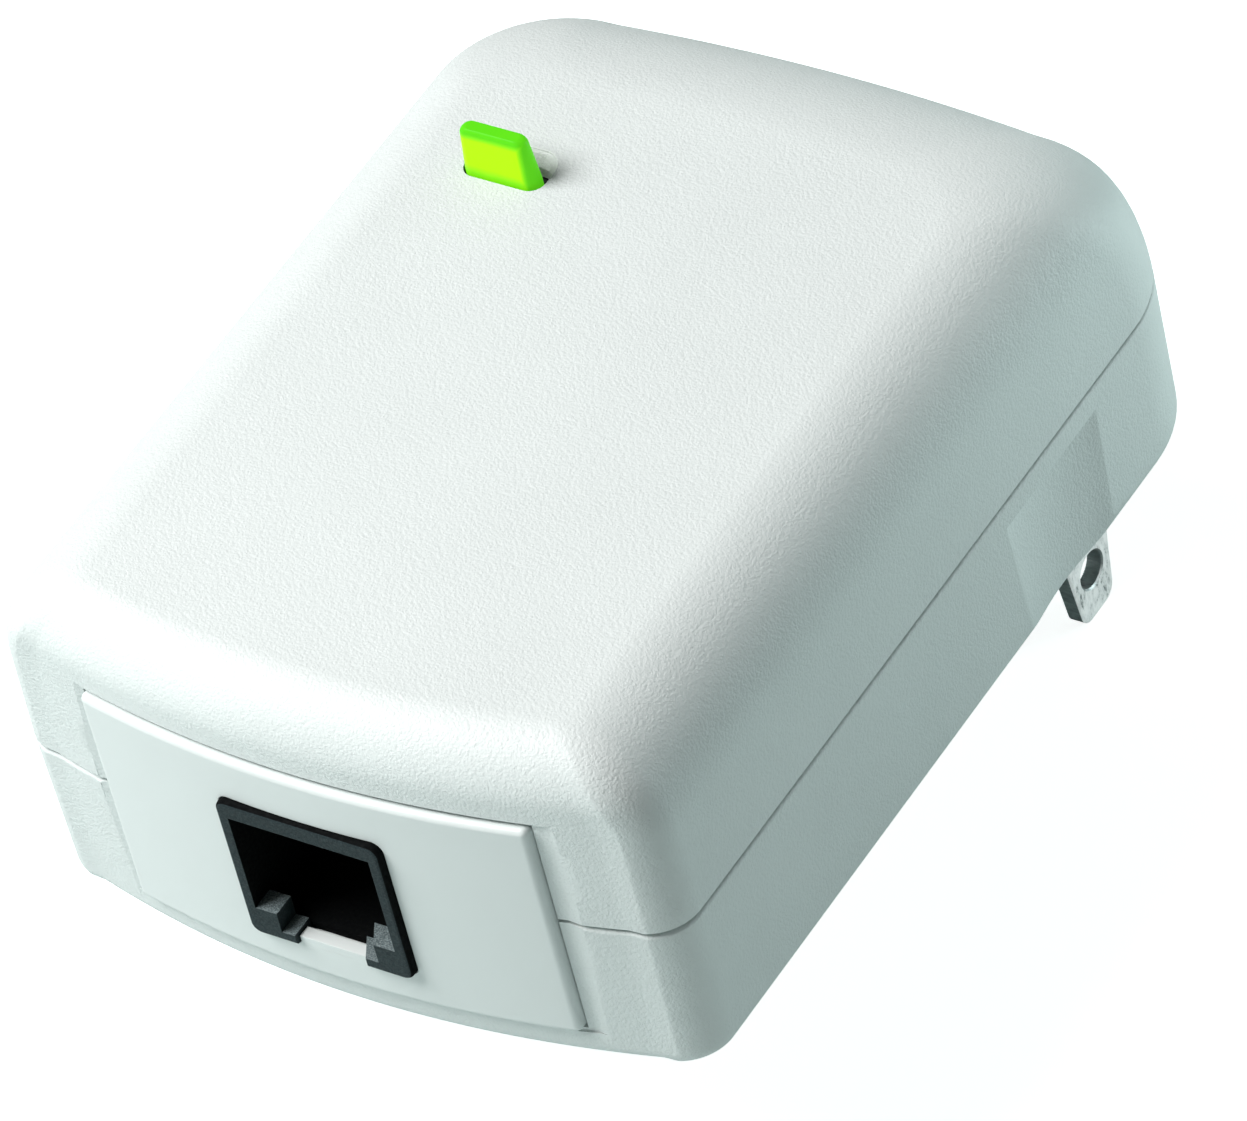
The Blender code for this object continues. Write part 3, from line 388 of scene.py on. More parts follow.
def key_finish():
    """Lit translucent key: yellow-green in the middle of its broad faces, pure green at its rim."""
    f = Finish("key_light_guide", (0.3, 0.95, 0.0), 0.42, IOR=1.18)
    split = f.tree.nodes.new("ShaderNodeSeparateXYZ")
    f.link(f.place, split.inputs["Vector"])
    middle_x = KEY_X - PLUG_X - KEY_GLOW_SHIFT
    across = f.math("ABSOLUTE", f.math("SUBTRACT", split.outputs["X"], middle_x), 0)
    height = f.math("SUBTRACT", split.outputs["Z"], CASE_HEIGHT)
    side = f.between(across, 0.0, 1.0, *KEY_SIDE_RIM)
    top = f.between(height, 0.0, 1.0, *KEY_TOP_RIM)
    foot = f.between(height, 0.6, 0.0, *KEY_FOOT_RIM)
    rim = f.math("MAXIMUM", f.math("MAXIMUM", side, top), foot)
    glow = f.math("ADD", rim, f.between(f.noise(2.5 * MM, 1.0), -0.15, 0.15))
    stops = [(0.1, (0.47, 0.92, 0.0)), (0.6, (0.22, 0.86, 0.01)), (1.0, (0.11, 0.70, 0.01))]
    body = [(place, tuple(KEY_BODY * c for c in colour)) for place, colour in stops]
    f.link(f.ramp(glow, stops), f.shader.inputs["Emission Color"])
    f.link(f.ramp(glow, body), f.shader.inputs["Base Color"])
    f.shader.inputs["Emission Strength"].default_value = KEY_GLOW
    f.bump(f.noise(0.8 * MM, 1.0), 0.08, 0.04 * MM)
    return f.material


def blade_finish():
    """Nickel plate with the scuffs that a socket's springs leave along it."""
    f = Finish("blade_plating", (0.86, 0.89, 0.88), 0.38, metallic=0.35)
    scuffs = f.noise(0.45 * MM, 5.0, 0.7, f.stretched((1.0, 1.0, 0.4)))
    blotches = f.noise(1.6 * MM, 3.0, 0.6)
    tone = f.math("MULTIPLY", scuffs, f.between(blotches, 0.75, 1.3))
    stops = [(0.32, (0.20, 0.23, 0.23)), (0.42, (0.74, 0.77, 0.76)), (0.58, (0.92, 0.94, 0.93))]
    colour = f.ramp(tone, stops)
    f.link(colour, f.shader.inputs["Base Color"])
    f.rough(scuffs, 0.3, 0.5)
    f.bump(scuffs, 0.18, 0.02 * MM)
    return f.material


def sheared_finish():
    """The blades' stamped edges, darker and rougher than the plated faces."""
    f = Finish("blade_edge", (0.3, 0.33, 0.33), 0.5, metallic=0.8)
    streaks = f.noise(0.3 * MM, 3.0, 0.6, f.stretched((0.3, 1.0, 1.0)))
    f.varied(streaks, 0.35)
    f.rough(streaks, 0.35, 0.6)
    f.bump(streaks, 0.3, 0.03 * MM)
    return f.material


def metal_finish(name, colour, roughness, grain):
    """Bare or plated metal with a fine drawn grain."""
    f = Finish(name, colour, roughness, metallic=1.0)
    lines = f.noise(grain, 3.0, 0.6, f.stretched((1.0, 1.0, 0.15)))
    f.varied(lines, 0.12)
    f.rough(lines, roughness * 0.7, roughness * 1.4)
    f.bump(lines, 0.15, 0.02 * MM)
    return f.material


def moulded_finish(name, colour, roughness, grain, variation=0.06):
    """Moulded plastic, epoxy or ceramic with a fine grain."""
    f = Finish(name, colour, roughness)
    f.varied(f.noise(grain * 4, 3.0), variation)
    f.rough(f.noise(grain, 2.0), roughness * 0.85, roughness * 1.15)
    f.bump(f.noise(grain, 3.0, 0.6), 0.25, grain * 0.2)
    return f.material


def board_finish():
    """Green solder mask: tracks and pads show faintly through it."""
    f = Finish("solder_mask", (0.03, 0.2, 0.09), 0.35)
    f.shader.inputs["Coat Weight"].default_value = 0.3
    tracks = f.math("GREATER_THAN", f.waves(9 * MM, "DIAGONAL", 6.0), 0.55)
    colour = f.ramp(tracks, [(0.0, (0.018, 0.13, 0.06)), (1.0, (0.04, 0.26, 0.11))])
    f.link(colour, f.shader.inputs["Base Color"])
    f.bump(tracks, 0.4, 0.03 * MM)
    f.rough(f.noise(2 * MM, 2.0), 0.28, 0.42)
    return f.material


def winding_finish():
    """Layers of enamelled wire."""
    f = Finish("enamelled_wire", (0.62, 0.28, 0.12), 0.3, metallic=1.0)
    turns = f.waves(1.2 * MM, "Z")
    f.link(f.ramp(turns, [(0.0, (0.25, 0.08, 0.03)), (0.5, (0.66, 0.31, 0.13))]),
           f.shader.inputs["Base Color"])
    f.bump(turns, 0.8, 0.1 * MM)
    f.rough(f.noise(0.5 * MM), 0.22, 0.4)
    return f.material


def tape_finish():
    """Wound amber polyester tape with its overlaps."""
    f = Finish("amber_tape", (0.85, 0.58, 0.08), 0.3)
    f.shader.inputs["Coat Weight"].default_value = 0.5
    laps = f.waves(6 * MM, "Z", 1.0)
    f.link(f.ramp(laps, [(0.1, (0.70, 0.42, 0.04)), (0.6, (0.9, 0.64, 0.12))]),
           f.shader.inputs["Base Color"])
    f.bump(laps, 0.3, 0.05 * MM)
    f.rough(f.noise(0.7 * MM), 0.2, 0.38)
    return f.material


def led_finish():
    f = Finish("led_epoxy", (0.2, 0.9, 0.15), 0.12, IOR=1.5)
    f.shader.inputs["Transmission Weight"].default_value = 0.5
    f.shader.inputs["Emission Strength"].default_value = 1.5
    haze = f.noise(0.6 * MM, 2.0)
    f.link(f.ramp(haze, [(0.3, (0.15, 0.85, 0.08)), (0.7, (0.3, 1.0, 0.2))]),
           f.shader.inputs["Emission Color"])
    f.rough(haze, 0.08, 0.2)
    return f.material


def floor_finish():
    f = Finish("studio_paper", (0.53, 0.62, 0.61), 0.9)
    f.shader.inputs["Emission Color"].default_value = (1.0, 1.0, 1.0, 1.0)
    f.shader.inputs["Emission Strength"].default_value = FLOOR_GLOW
    f.shader.inputs["Specular IOR Level"].default_value = 0.0
    f.varied(f.noise(60 * MM, 2.0), 0.004)
    f.bump(f.noise(0.8 * MM, 3.0), 0.05, 0.05 * MM)
    return f.material


def slot_finishes():
    """One finish for each material slot of the record."""
    dark = (0.03, 0.03, 0.035)
    return {
        "shell": shell_finish(),
        "plate": plate_finish(),
        "jack": jack_finish(),
        "light_key": key_finish(),
        "blades": blade_finish(),
        "contacts": metal_finish("contact_gold", (0.83, 0.62, 0.25), 0.25, 0.2 * MM),
        "switch_case": moulded_finish("switch_plastic", dark, 0.55, 0.3 * MM),
        "plunger": moulded_finish("plunger_plastic", (0.75, 0.76, 0.75), 0.5, 0.4 * MM, 0.02),
        "led": led_finish(),
        "carrier": moulded_finish("carrier_plastic", (0.7, 0.71, 0.69), 0.6, 0.4 * MM, 0.03),
        "leads": moulded_finish("lead_insulation", (0.02, 0.02, 0.02), 0.45, 0.5 * MM, 0.2),
        "board": board_finish(),
        "ic_package": moulded_finish("package_epoxy", dark, 0.55, 0.15 * MM, 0.15),
        "ferrite": moulded_finish("sintered_ferrite", (0.08, 0.075, 0.075), 0.7, 0.25 * MM, 0.2),
        "winding": winding_finish(),
        "tape": tape_finish(),
        "film_capacitor": moulded_finish("capacitor_box", (0.85, 0.6, 0.05), 0.4, 0.5 * MM, 0.04),
        "can_sleeve": moulded_finish("capacitor_sleeve", (0.02, 0.03, 0.05), 0.35, 0.8 * MM, 0.2),
        "disc": moulded_finish("dipped_epoxy", (0.04, 0.16, 0.45), 0.4, 0.7 * MM, 0.1),
        "heat_sink": metal_finish("anodised_aluminium", (0.66, 0.67, 0.68), 0.35, 0.3 * MM),
        "crystal_can": metal_finish("drawn_can", (0.66, 0.67, 0.68), 0.28, 0.4 * MM),
        "fuse": moulded_finish("fuse_ceramic", (0.7, 0.71, 0.69), 0.45, 0.4 * MM, 0.04),
        "screws": metal_finish("zinc_plate", (0.58, 0.59, 0.6), 0.32, 0.2 * MM),
    }


NODE_SLOTS = {
    "switch_body": "switch_case", "switch_plunger": "plunger", "status_led": "led",
    "blade_carrier": "carrier", "blade_lead_left": "leads", "blade_lead_right": "leads",
    "main_board": "board", "lan_magnetics": "ic_package", "phy_chip": "ic_package",
    "memory_chip": "ic_package", "powerline_chip": "ic_package", "bridge_rectifier": "ic_package",
    "optocoupler": "ic_package", "buck_inductor": "ferrite", "coupling_transformer": "tape",
    "x_capacitor": "film_capacitor", "coupling_capacitor": "film_capacitor",
    "bulk_capacitor_1": "can_sleeve", "bulk_capacitor_2": "can_sleeve",
    "output_capacitor": "can_sleeve", "varistor": "disc", "y_capacitor": "disc",
    "heat_spreader": "heat_sink", "crystal": "crystal_can", "fuse": "fuse",
    "choke_core": "ferrite", "choke_winding": "winding", "transformer_bobbin": "ic_package",
    "transformer_core": "ferrite", "transformer_winding": "tape",
}
for number in range(1, 9):
    NODE_SLOTS[f"rj45_contact_{number}"] = "contacts"


# ---------------------------------------------------------------- mesh helpers

def finish_mesh(bm, name):
    bmesh.ops.recalc_face_normals(bm, faces=bm.faces)
    mesh = bpy.data.meshes.new(name)
    bm.to_mesh(mesh)
    bm.free()
    return mesh


def loft_mesh(name, rings):
    """A closed skin through rings that all have the same number of points."""
    bm = bmesh.new()
    loops = [[bm.verts.new(point) for point in ring] for ring in rings]
    bm.faces.new(list(reversed(loops[0])))
    bm.faces.new(loops[-1])
    count = len(loops[0])
    for low, high in zip(loops, loops[1:]):
        for i in range(count):
            j = (i + 1) % count
            bm.faces.new((low[i], low[j], high[j], high[i]))
    return finish_mesh(bm, name)


def box_mesh(name, low, high):
    middle = (Vector(low) + Vector(high)) / 2
    size = Vector(high) - Vector(low)
    bm = bmesh.new()
    bmesh.ops.create_cube(bm, size=1.0, matrix=Matrix.Translation(middle) @ Matrix.Diagonal((*size, 1)))
    return finish_mesh(bm, name)


def turned_mesh(name, profile, x, y, segments=48):
    """A solid of revolution about an upright axis; the profile is (radius, z) without its poles."""
    rings = [[(x + radius * math.cos(math.tau * i / segments),
               y + radius * math.sin(math.tau * i / segments), z) for i in range(segments)]
             for radius, z in profile]
    return loft_mesh(name, rings)


def cone_mesh(name, radius_low, radius_high, low, high, x, y, segments=48):
    """An upright closed cone or cylinder between two heights."""
    return turned_mesh(name, [(radius_low, low), (radius_high, high)], x, y, segments)


def arc(centre_x, centre_y, radius, start, end, steps):
    """Points of an arc in a plane; angles in degrees."""
    points = []
    for i in range(steps + 1):
        angle = math.radians(start + (end - start) * i / steps)
        points.append((centre_x + radius * math.cos(angle), centre_y + radius * math.sin(angle)))
    return points


def rounded_rectangle(width, height, radius, steps=10):
    x = width / 2 - radius
    y = height / 2 - radius
    return (arc(x, -y, radius, -90, 0, steps) + arc(x, y, radius, 0, 90, steps)
            + arc(-x, y, radius, 90, 180, steps) + arc(-x, -y, radius, 180, 270, steps))


def temporary(mesh):
    item = bpy.data.objects.new(mesh.name, mesh)
    bpy.context.scene.collection.objects.link(item)
    return item


def applied(item):
    """The item's mesh with its modifiers applied."""
    evaluated = item.evaluated_get(bpy.context.evaluated_depsgraph_get())
    return bpy.data.meshes.new_from_object(evaluated)


def bevelled(mesh, width, segments=3, angle=40):
    item = temporary(mesh)
    modifier = item.modifiers.new("bevel", "BEVEL")
    modifier.width = width
    modifier.segments = segments
    modifier.limit_method = "ANGLE"
    modifier.angle_limit = math.radians(angle)
    result = applied(item)
    bpy.data.objects.remove(item)
    return result


def carved(mesh, tools):
    """The mesh after each tool, (operation, mesh), has been applied in order."""
    item = temporary(mesh)
    helpers = []
    for operation, tool in tools:
        helper = temporary(tool)
        modifier = item.modifiers.new(operation.lower(), "BOOLEAN")
        modifier.operation = operation
        modifier.solver = "EXACT"
        modifier.object = helper
        helpers.append(helper)
    result = applied(item)
    for helper in helpers + [item]:
        bpy.data.objects.remove(helper)
    return result


def cut(mesh):
    return "DIFFERENCE", mesh


def add(mesh):
    return "UNION", mesh


def show(name, mesh, body, slot, nodes, angle=30, others=(), pick=None):
    """Puts a finished mesh in the frame as a piece that stands for CAD nodes.

    pick, given a face in body coordinates, returns 0 for the slot's own finish or the place
    of another finish, counted from 1."""
    mesh.materials.clear()
    for finish in (FINISHES[slot], *others):
        mesh.materials.append(finish)
    for face in mesh.polygons:
        face.material_index = pick(face) if pick else 0
    mesh.transform(TO_FRAME)
    mesh.shade_smooth()
    mesh.set_sharp_from_angle(angle=math.radians(angle))
    item = bpy.data.objects.new(name, mesh)
    bpy.context.scene.collection.objects.link(item)
    weighted = item.modifiers.new("weighted_normals", "WEIGHTED_NORMAL")
    weighted.keep_sharp = True
    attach(item, body)
    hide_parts(*nodes)
    return item


def shine_only_on(source, targets):
    """Keeps a lamp's or a glowing piece's light off everything but the targets."""
    group = bpy.data.collections.new("lit_by_" + source.name)
    for target in targets:
        group.objects.link(target)
    source.light_linking.receiver_collection = group


# ---------------------------------------------------------------- case shape

def front_bow(x):
    return x * x / (2 * FRONT_BOW_RADIUS)


def rear_bow(x):
    return CASE_LENGTH - x * x / (2 * REAR_BOW_RADIUS)


def rounding_inset(z, low, high, radius_low, radius_high):
    """How far a rounded edge has moved inwards at height z."""
    if z < low + radius_low:
        rise = low + radius_low - z
        return radius_low - math.sqrt(max(radius_low ** 2 - rise ** 2, 0))
    if z > high - radius_high:
        rise = z - (high - radius_high)
        return radius_high - math.sqrt(max(radius_high ** 2 - rise ** 2, 0))
    return 0.0


def case_ring(z, wall=0.0, ease=0.0, bow_steps=56, corner_steps=16):
    """The case's outline at height z, moved inwards by the wall thickness and a small ease."""
    low = wall
    high = CASE_HEIGHT - wall
    slope = abs(z - PARTING_Z) * math.tan(DRAFT)
    base = max(BASE_ROUND - wall, LEAST_ROUND)
    moved = slope + wall + ease
    side = rounding_inset(z, low, high, base, SIDE_ROUND - wall) + moved
    front = rounding_inset(z, low, high, base, FRONT_ROUND - wall) + moved
    rear = rounding_inset(z, low, high, base, REAR_ROUND - wall) + moved
    half = CASE_WIDTH / 2 - side
    front_radius = max(FRONT_CORNER - wall - 0.5 * (front - slope - wall), 1.0 * MM)
    rear_radius = max(REAR_CORNER - wall - 0.3 * (rear - slope - wall), 2.0 * MM)
    front_edge = half - front_radius
    rear_edge = half - rear_radius
    points = []
    for i in range(bow_steps + 1):
        x = -front_edge + 2 * front_edge * i / bow_steps
        points.append((x, front_bow(x) + front))
    lean = math.degrees(math.asin(front_edge / FRONT_BOW_RADIUS))
    corner = arc(0, 0, front_radius, -90 + lean, 0, corner_steps)
    start_y = points[-1][1]
    right_front = [(front_edge + x, start_y - corner[0][1] + y) for x, y in corner[1:]]
    points += right_front
    lean = math.degrees(math.asin(rear_edge / REAR_BOW_RADIUS))
    corner = arc(0, 0, rear_radius, 0, 90 - lean, corner_steps)
    end_y = rear_bow(rear_edge) - rear
    right_rear = [(rear_edge + x, end_y - corner[-1][1] + y) for x, y in corner]
    points += right_rear
    for i in range(1, bow_steps):
        x = rear_edge - 2 * rear_edge * i / bow_steps
        points.append((x, rear_bow(x) - rear))
    points += [(-x, y) for x, y in reversed(right_rear)]
    points += [(-x, y) for x, y in reversed(right_front)]
    return [(x, y, z) for x, y in points]


def quarter(steps):
    """Angles in radians that divide a quarter turn."""
    return [math.pi / 2 * i / steps for i in range(steps + 1)]


def front_skin_mesh(name, wall, start, edge_round):
    """The front cover's skin from start to its top, with its lower edge rounded."""
    rings = []
    if edge_round:
        for angle in quarter(4):
            ease = edge_round * (1 - math.sin(angle))
            rings.append(case_ring(start + edge_round * (1 - math.cos(angle)), wall, ease))
    else:
        rings.append(case_ring(start, wall))
    low = PARTING_Z + 0.8 * MM
    top = CASE_HEIGHT - wall
    radius = REAR_ROUND - wall
    levels = [top - radius + radius * math.sin(angle) for angle in quarter(44)]
    rings += [case_ring(z, wall) for z in levels if z > low]
    return loft_mesh(name, rings)


def rear_skin_mesh(name, wall, end, edge_round):
    """The rear cover's skin from its base to the parting line, with its upper edge rounded."""
    base = max(BASE_ROUND - wall, LEAST_ROUND)
    rings = [case_ring(wall + base * (1 - math.sin(angle)), wall) for angle in reversed(quarter(8))]
    if edge_round:
        for angle in quarter(4):
            ease = edge_round * (1 - math.cos(angle))
            rings.append(case_ring(end - edge_round * (1 - math.sin(angle)), wall, ease))
    else:
        rings.append(case_ring(end, wall))
    return loft_mesh(name, rings)


def straight_loft(name, wall, low, high):
    return loft_mesh(name, [case_ring(z, wall) for z in (low, high)])


def bowed_panel(name, half_width, bottom, top, near, far, steps=64):
    """A slab that follows the bowed jack end, from near to far in front of the bow line."""
    xs = [-half_width + 2 * half_width * i / steps for i in range(steps + 1)]
    outline = [(x, front_bow(x) + near) for x in xs] + [(x, front_bow(x) + far) for x in reversed(xs)]
    return loft_mesh(name, [[(x, y, z) for x, y in outline] for z in (bottom, top)])


def plate_opening_tools():
    """Cutters for the end plate's opening and for the sloping rebate down each side of it."""
    inner = PLATE_HALF_WIDTH + PLATE_GAP
    opening = bowed_panel("opening", inner, PLATE_BOTTOM - PLATE_GAP, PLATE_TOP + PLATE_GAP,
                          -CLEAR, PLATE_SEAT)
    left = -PLATE_HALF_WIDTH - REBATE_LEFT
    right = PLATE_HALF_WIDTH + REBATE_RIGHT
    steps = 40
    xs = [left] + [-inner + 2 * inner * i / steps for i in range(steps + 1)]
    xs += [PLATE_HALF_WIDTH + REBATE_FLAT, right]
    depths = [REBATE_OUTER_DEPTH] + [REBATE_INNER_DEPTH] * (steps + 2) + [REBATE_OUTER_DEPTH]
    back = [(x, front_bow(x) + depth) for x, depth in zip(xs, depths)]
    outline = [(x, front_bow(x) - CLEAR) for x in xs] + back[::-1]
    rebate = loft_mesh("rebate", [[(x, y, z) for x, y in outline]
                                  for z in (PLATE_BOTTOM - REBATE_END, PLATE_TOP + REBATE_END)])
    return [cut(opening), cut(rebate)]


def screw_places():
    return [(side * SCREW_X, y) for y in SCREW_ROWS for side in (-1, 1)]


def slot_outline(back, inset):
    """The key slot's outline up to a back edge, with tighter corners beside the key."""
    half = SLOT_WIDTH / 2 - inset
    near = SLOT_FRONT_CORNER
    low = SLOT_FRONT + near
    far = min(SLOT_BACK_CORNER, back - low - 0.1 * MM)
    high = back - far
    return (arc(half - near, low, near, -90, 0, 12) + arc(half - far, high, far, 0, 90, 12)
            + arc(far - half, high, far, 90, 180, 12) + arc(near - half, low, near, 180, 270, 12))


def slot_tool():
    """The key slot's cutter: its far side slopes down to the key, under a small rounded edge."""
    levels = [(CASE_HEIGHT - 4 * MM, SLOT_THROAT, SLOT_THROAT_INSET),
              (CASE_HEIGHT - 1.1 * MM, SLOT_THROAT, SLOT_THROAT_INSET),
              (CASE_HEIGHT - 0.3 * MM, SLOT_BACK - 0.35 * MM, 0.02 * MM)]
    for angle in quarter(4):
        grow = SLOT_ROUND * (1 - math.cos(angle))
        levels.append((CASE_HEIGHT - SLOT_ROUND * (1 - math.sin(angle)), SLOT_BACK - SLOT_ROUND + grow, 0.0))
    levels.append((CASE_HEIGHT + REACH, SLOT_BACK, 0.0))
    return loft_mesh("key_slot", [[(SLOT_X + x, y, z) for x, y in slot_outline(back, inset)]
                                  for z, back, inset in levels])


def make_front_cover():
    start = PARTING_Z + PARTING_GAP / 2
    tools = [cut(front_skin_mesh("front_cavity", WALL, start - REACH, 0.0)),
             cut(straight_loft("lip_seat", LIP_INSET - GAP, start - REACH, PARTING_Z + LIP_HEIGHT + GAP))]
    foot = SCREW_SEAT_Z + GAP
    for x, y in screw_places():
        tools.append(add(cone_mesh("post", POST_RADIUS, POST_RADIUS, foot, POST_TOP, x, y)))
    for x, y in screw_places():
        bore = SCREW_RADIUS + GAP
        tools.append(cut(cone_mesh("bore", bore, bore, foot - REACH / 2, foot + SCREW_LENGTH, x, y)))
    tools.append(cut(slot_tool()))
    tools += plate_opening_tools()
    mesh = carved(front_skin_mesh("front_shell", 0.0, start, FRONT_EDGE_ROUND), tools)
    show("front_shell", mesh, "root", "shell", ["front_cover"])


def make_rear_cover():
    end = PARTING_Z - PARTING_GAP / 2
    lip_top = PARTING_Z + LIP_HEIGHT
    lip_root = end - 1.6 * MM
    lip = carved(straight_loft("lip", LIP_INSET, lip_root, lip_top),
                 [cut(straight_loft("lip_core", LIP_INNER, lip_root - REACH, lip_top + REACH))])
    tools = [cut(rear_skin_mesh("rear_cavity", WALL, end + REACH, 0.0)), add(lip)]
    for x, y in screw_places():
        outer = SCREW_HEAD_RADIUS + BOSS_WALL
        tools.append(add(cone_mesh("boss", outer + 0.2 * MM, outer, WALL / 2, SCREW_SEAT_Z, x, y)))
    for x, y in screw_places():
        recess = SCREW_HEAD_RADIUS + GAP
        top = HEAD_RECESS + SCREW_HEAD_HEIGHT + GAP
        tools.append(cut(cone_mesh("recess", recess, recess, -REACH, top, x, y)))
        tools.append(cut(cone_mesh("lead_in", recess + 0.6 * MM, recess - 0.4 * MM, -0.3 * MM,
                                   0.7 * MM, x, y)))
        hole = SCREW_RADIUS + GAP
        tools.append(cut(cone_mesh("hole", hole, hole, 0, 8 * MM, x, y)))
    for side in (-1, 1):
        x = PLUG_X + side * BLADE_SPACING / 2
        wide = BLADE_THICKNESS / 2 + GAP / 2
        deep = BLADE_WIDTH / 2 + GAP / 2
        tools.append(cut(box_mesh("blade_slot", (x - wide, PLUG_Y - deep, -REACH),
                                  (x + wide, PLUG_Y + deep, 4 * MM))))
        scoop_x = side * (CASE_WIDTH / 2 + SCOOP_RADIUS - SCOOP_DEPTH)
        tools.append(cut(cone_mesh("scoop", SCOOP_RADIUS, SCOOP_RADIUS, -REACH, SCOOP_TOP,
                                   scoop_x, SCOOP_Y, 300)))
    tools += plate_opening_tools()
    mesh = carved(rear_skin_mesh("rear_shell", 0.0, end, REAR_EDGE_ROUND), tools)
    show("rear_shell", mesh, "root", "shell", ["rear_cover"])


# ---------------------------------------------------------------- end plate and jack

def jack_ring(y, inset):
    """The jack's outline at a distance behind the bow, moved inwards by inset."""
    middle = (JACK_BOTTOM + JACK_TOP) / 2
    outline = rounded_rectangle(JACK_WIDTH - 2 * inset, JACK_HEIGHT - 2 * inset, JACK_CORNER - inset, 8)
    return [(x, y, middle + z) for x, z in outline]


def make_plate():
    """Bowed end plate with the jack's opening and a tongue that fills the jack's notch."""
    panel = bowed_panel("panel", PLATE_HALF_WIDTH, PLATE_BOTTOM, PLATE_TOP, -PLATE_PROUD,
                        PLATE_THICKNESS - PLATE_PROUD)
    panel = bevelled(panel, PLATE_ROUND, 6)
    opening = loft_mesh("opening", [jack_ring(y, -JACK_GAP) for y in (-CLEAR, PLATE_THICKNESS + CLEAR)])
    tongue_y = TONGUE_SET_BACK - PLATE_PROUD
    tongue_half = LATCH_WIDTH / 2 - JACK_GAP
    outline = ledge_outline(tongue_half, tongue_y, tongue_y + TONGUE_THICKNESS)
    tongue = loft_mesh("tongue", [[(x, y, z) for x, y in outline]
                                  for z in (JACK_BOTTOM - 2 * GAP, STEP_Z - TONGUE_DROP)])
    mesh = carved(panel, [cut(opening), add(bevelled(tongue, TONGUE_EDGE, 2))])
    show("end_plate", mesh, "root", "plate", ["jack_plate"])


def port_cut(width, low, high, start, end):
    return cut(box_mesh("port", (-width / 2, start, low), (width / 2, end, high)))


def ledge_outline(half, start, end):
    """A cut between the ledges: its right side slants inwards behind the jack's front."""
    slant = LEDGE_SLANT * (end - JACK_FRONT) / LEDGE_DEPTH
    outline = [(-half, start), (half, start), (half - slant, end), (-half, end)]
    if start < JACK_FRONT:
        outline.insert(2, (half, JACK_FRONT))
    return outline


def ledge_cut(width, low, high):
    outline = ledge_outline(width / 2, JACK_FRONT - REACH, JACK_FRONT + LEDGE_DEPTH + 0.05 * MM)
    return cut(loft_mesh("ledge", [[(x, y, z) for x, y in outline] for z in (low, high)]))


def jack_face_painted_light_and_shade(face):
    """0 for the textured front, 1 for the tops of the ledges, which get a paler copy of the nylon as painted
    light, 2 for the sides and the inside, which get a near-black copy as painted shade.
    """
    x, y, z = face.center
    ledge_back = JACK_FRONT + LEDGE_DEPTH
    # Deep in the port: painted shade.
    if y > ledge_back + 0.1 * MM and abs(face.normal.y) < 0.7:
        return 2
    # Tops of the ledges: painted light.
    if face.normal.z > 0.9 and SHOULDER_Z + 0.1 * MM > z > STEP_Z - 0.1 * MM:
        return 1
    # The outer sides and what lies behind the ledges: painted shade.
    outer = abs(x) > JACK_WIDTH / 2 - JACK_ROUND or z > JACK_TOP - JACK_ROUND
    if face.normal.y > -0.8 and outer or y > ledge_back:
        return 2
    return 0


def make_jack():
    """Network jack, latch side down: port, two ledges a side and a latch notch."""
    rings = [jack_ring(JACK_FRONT + JACK_ROUND * (1 - math.sin(a)), JACK_ROUND * (1 - math.cos(a)))
             for a in reversed(quarter(5))]
    block = loft_mesh("block", rings + [jack_ring(JACK_FRONT + JACK_DEPTH, 0.0)])
    mouth = JACK_FRONT - REACH
    back = JACK_FRONT + PORT_DEPTH
    joined = 0.1 * MM
    tools = [port_cut(PORT_WIDTH, SHOULDER_Z, PORT_TOP, mouth, back),
             ledge_cut(STEP_WIDTH, STEP_Z, SHOULDER_Z + joined),
             port_cut(PORT_WIDTH, JACK_BOTTOM + PORT_FLOOR, SHOULDER_Z + joined,
                      JACK_FRONT + LEDGE_DEPTH, back),
             ledge_cut(LATCH_WIDTH, JACK_BOTTOM - REACH, STEP_Z + joined)]
    # The ledge tops take a painted-light copy of the nylon, and the sides and the inside take a
    # painted-shade copy.
    show("jack_body", carved(block, tools), "root", "jack", ["rj45_housing"],
         others=(painted_light_ledge_finish(), painted_shade_port_finish()), pick=jack_face_painted_light_and_shade)


# ---------------------------------------------------------------- pairing button

def pill(width, height):
    """A rectangle whose ends are almost half circles."""
    return rounded_rectangle(width, height, height / 2 - 0.02 * MM, 12)


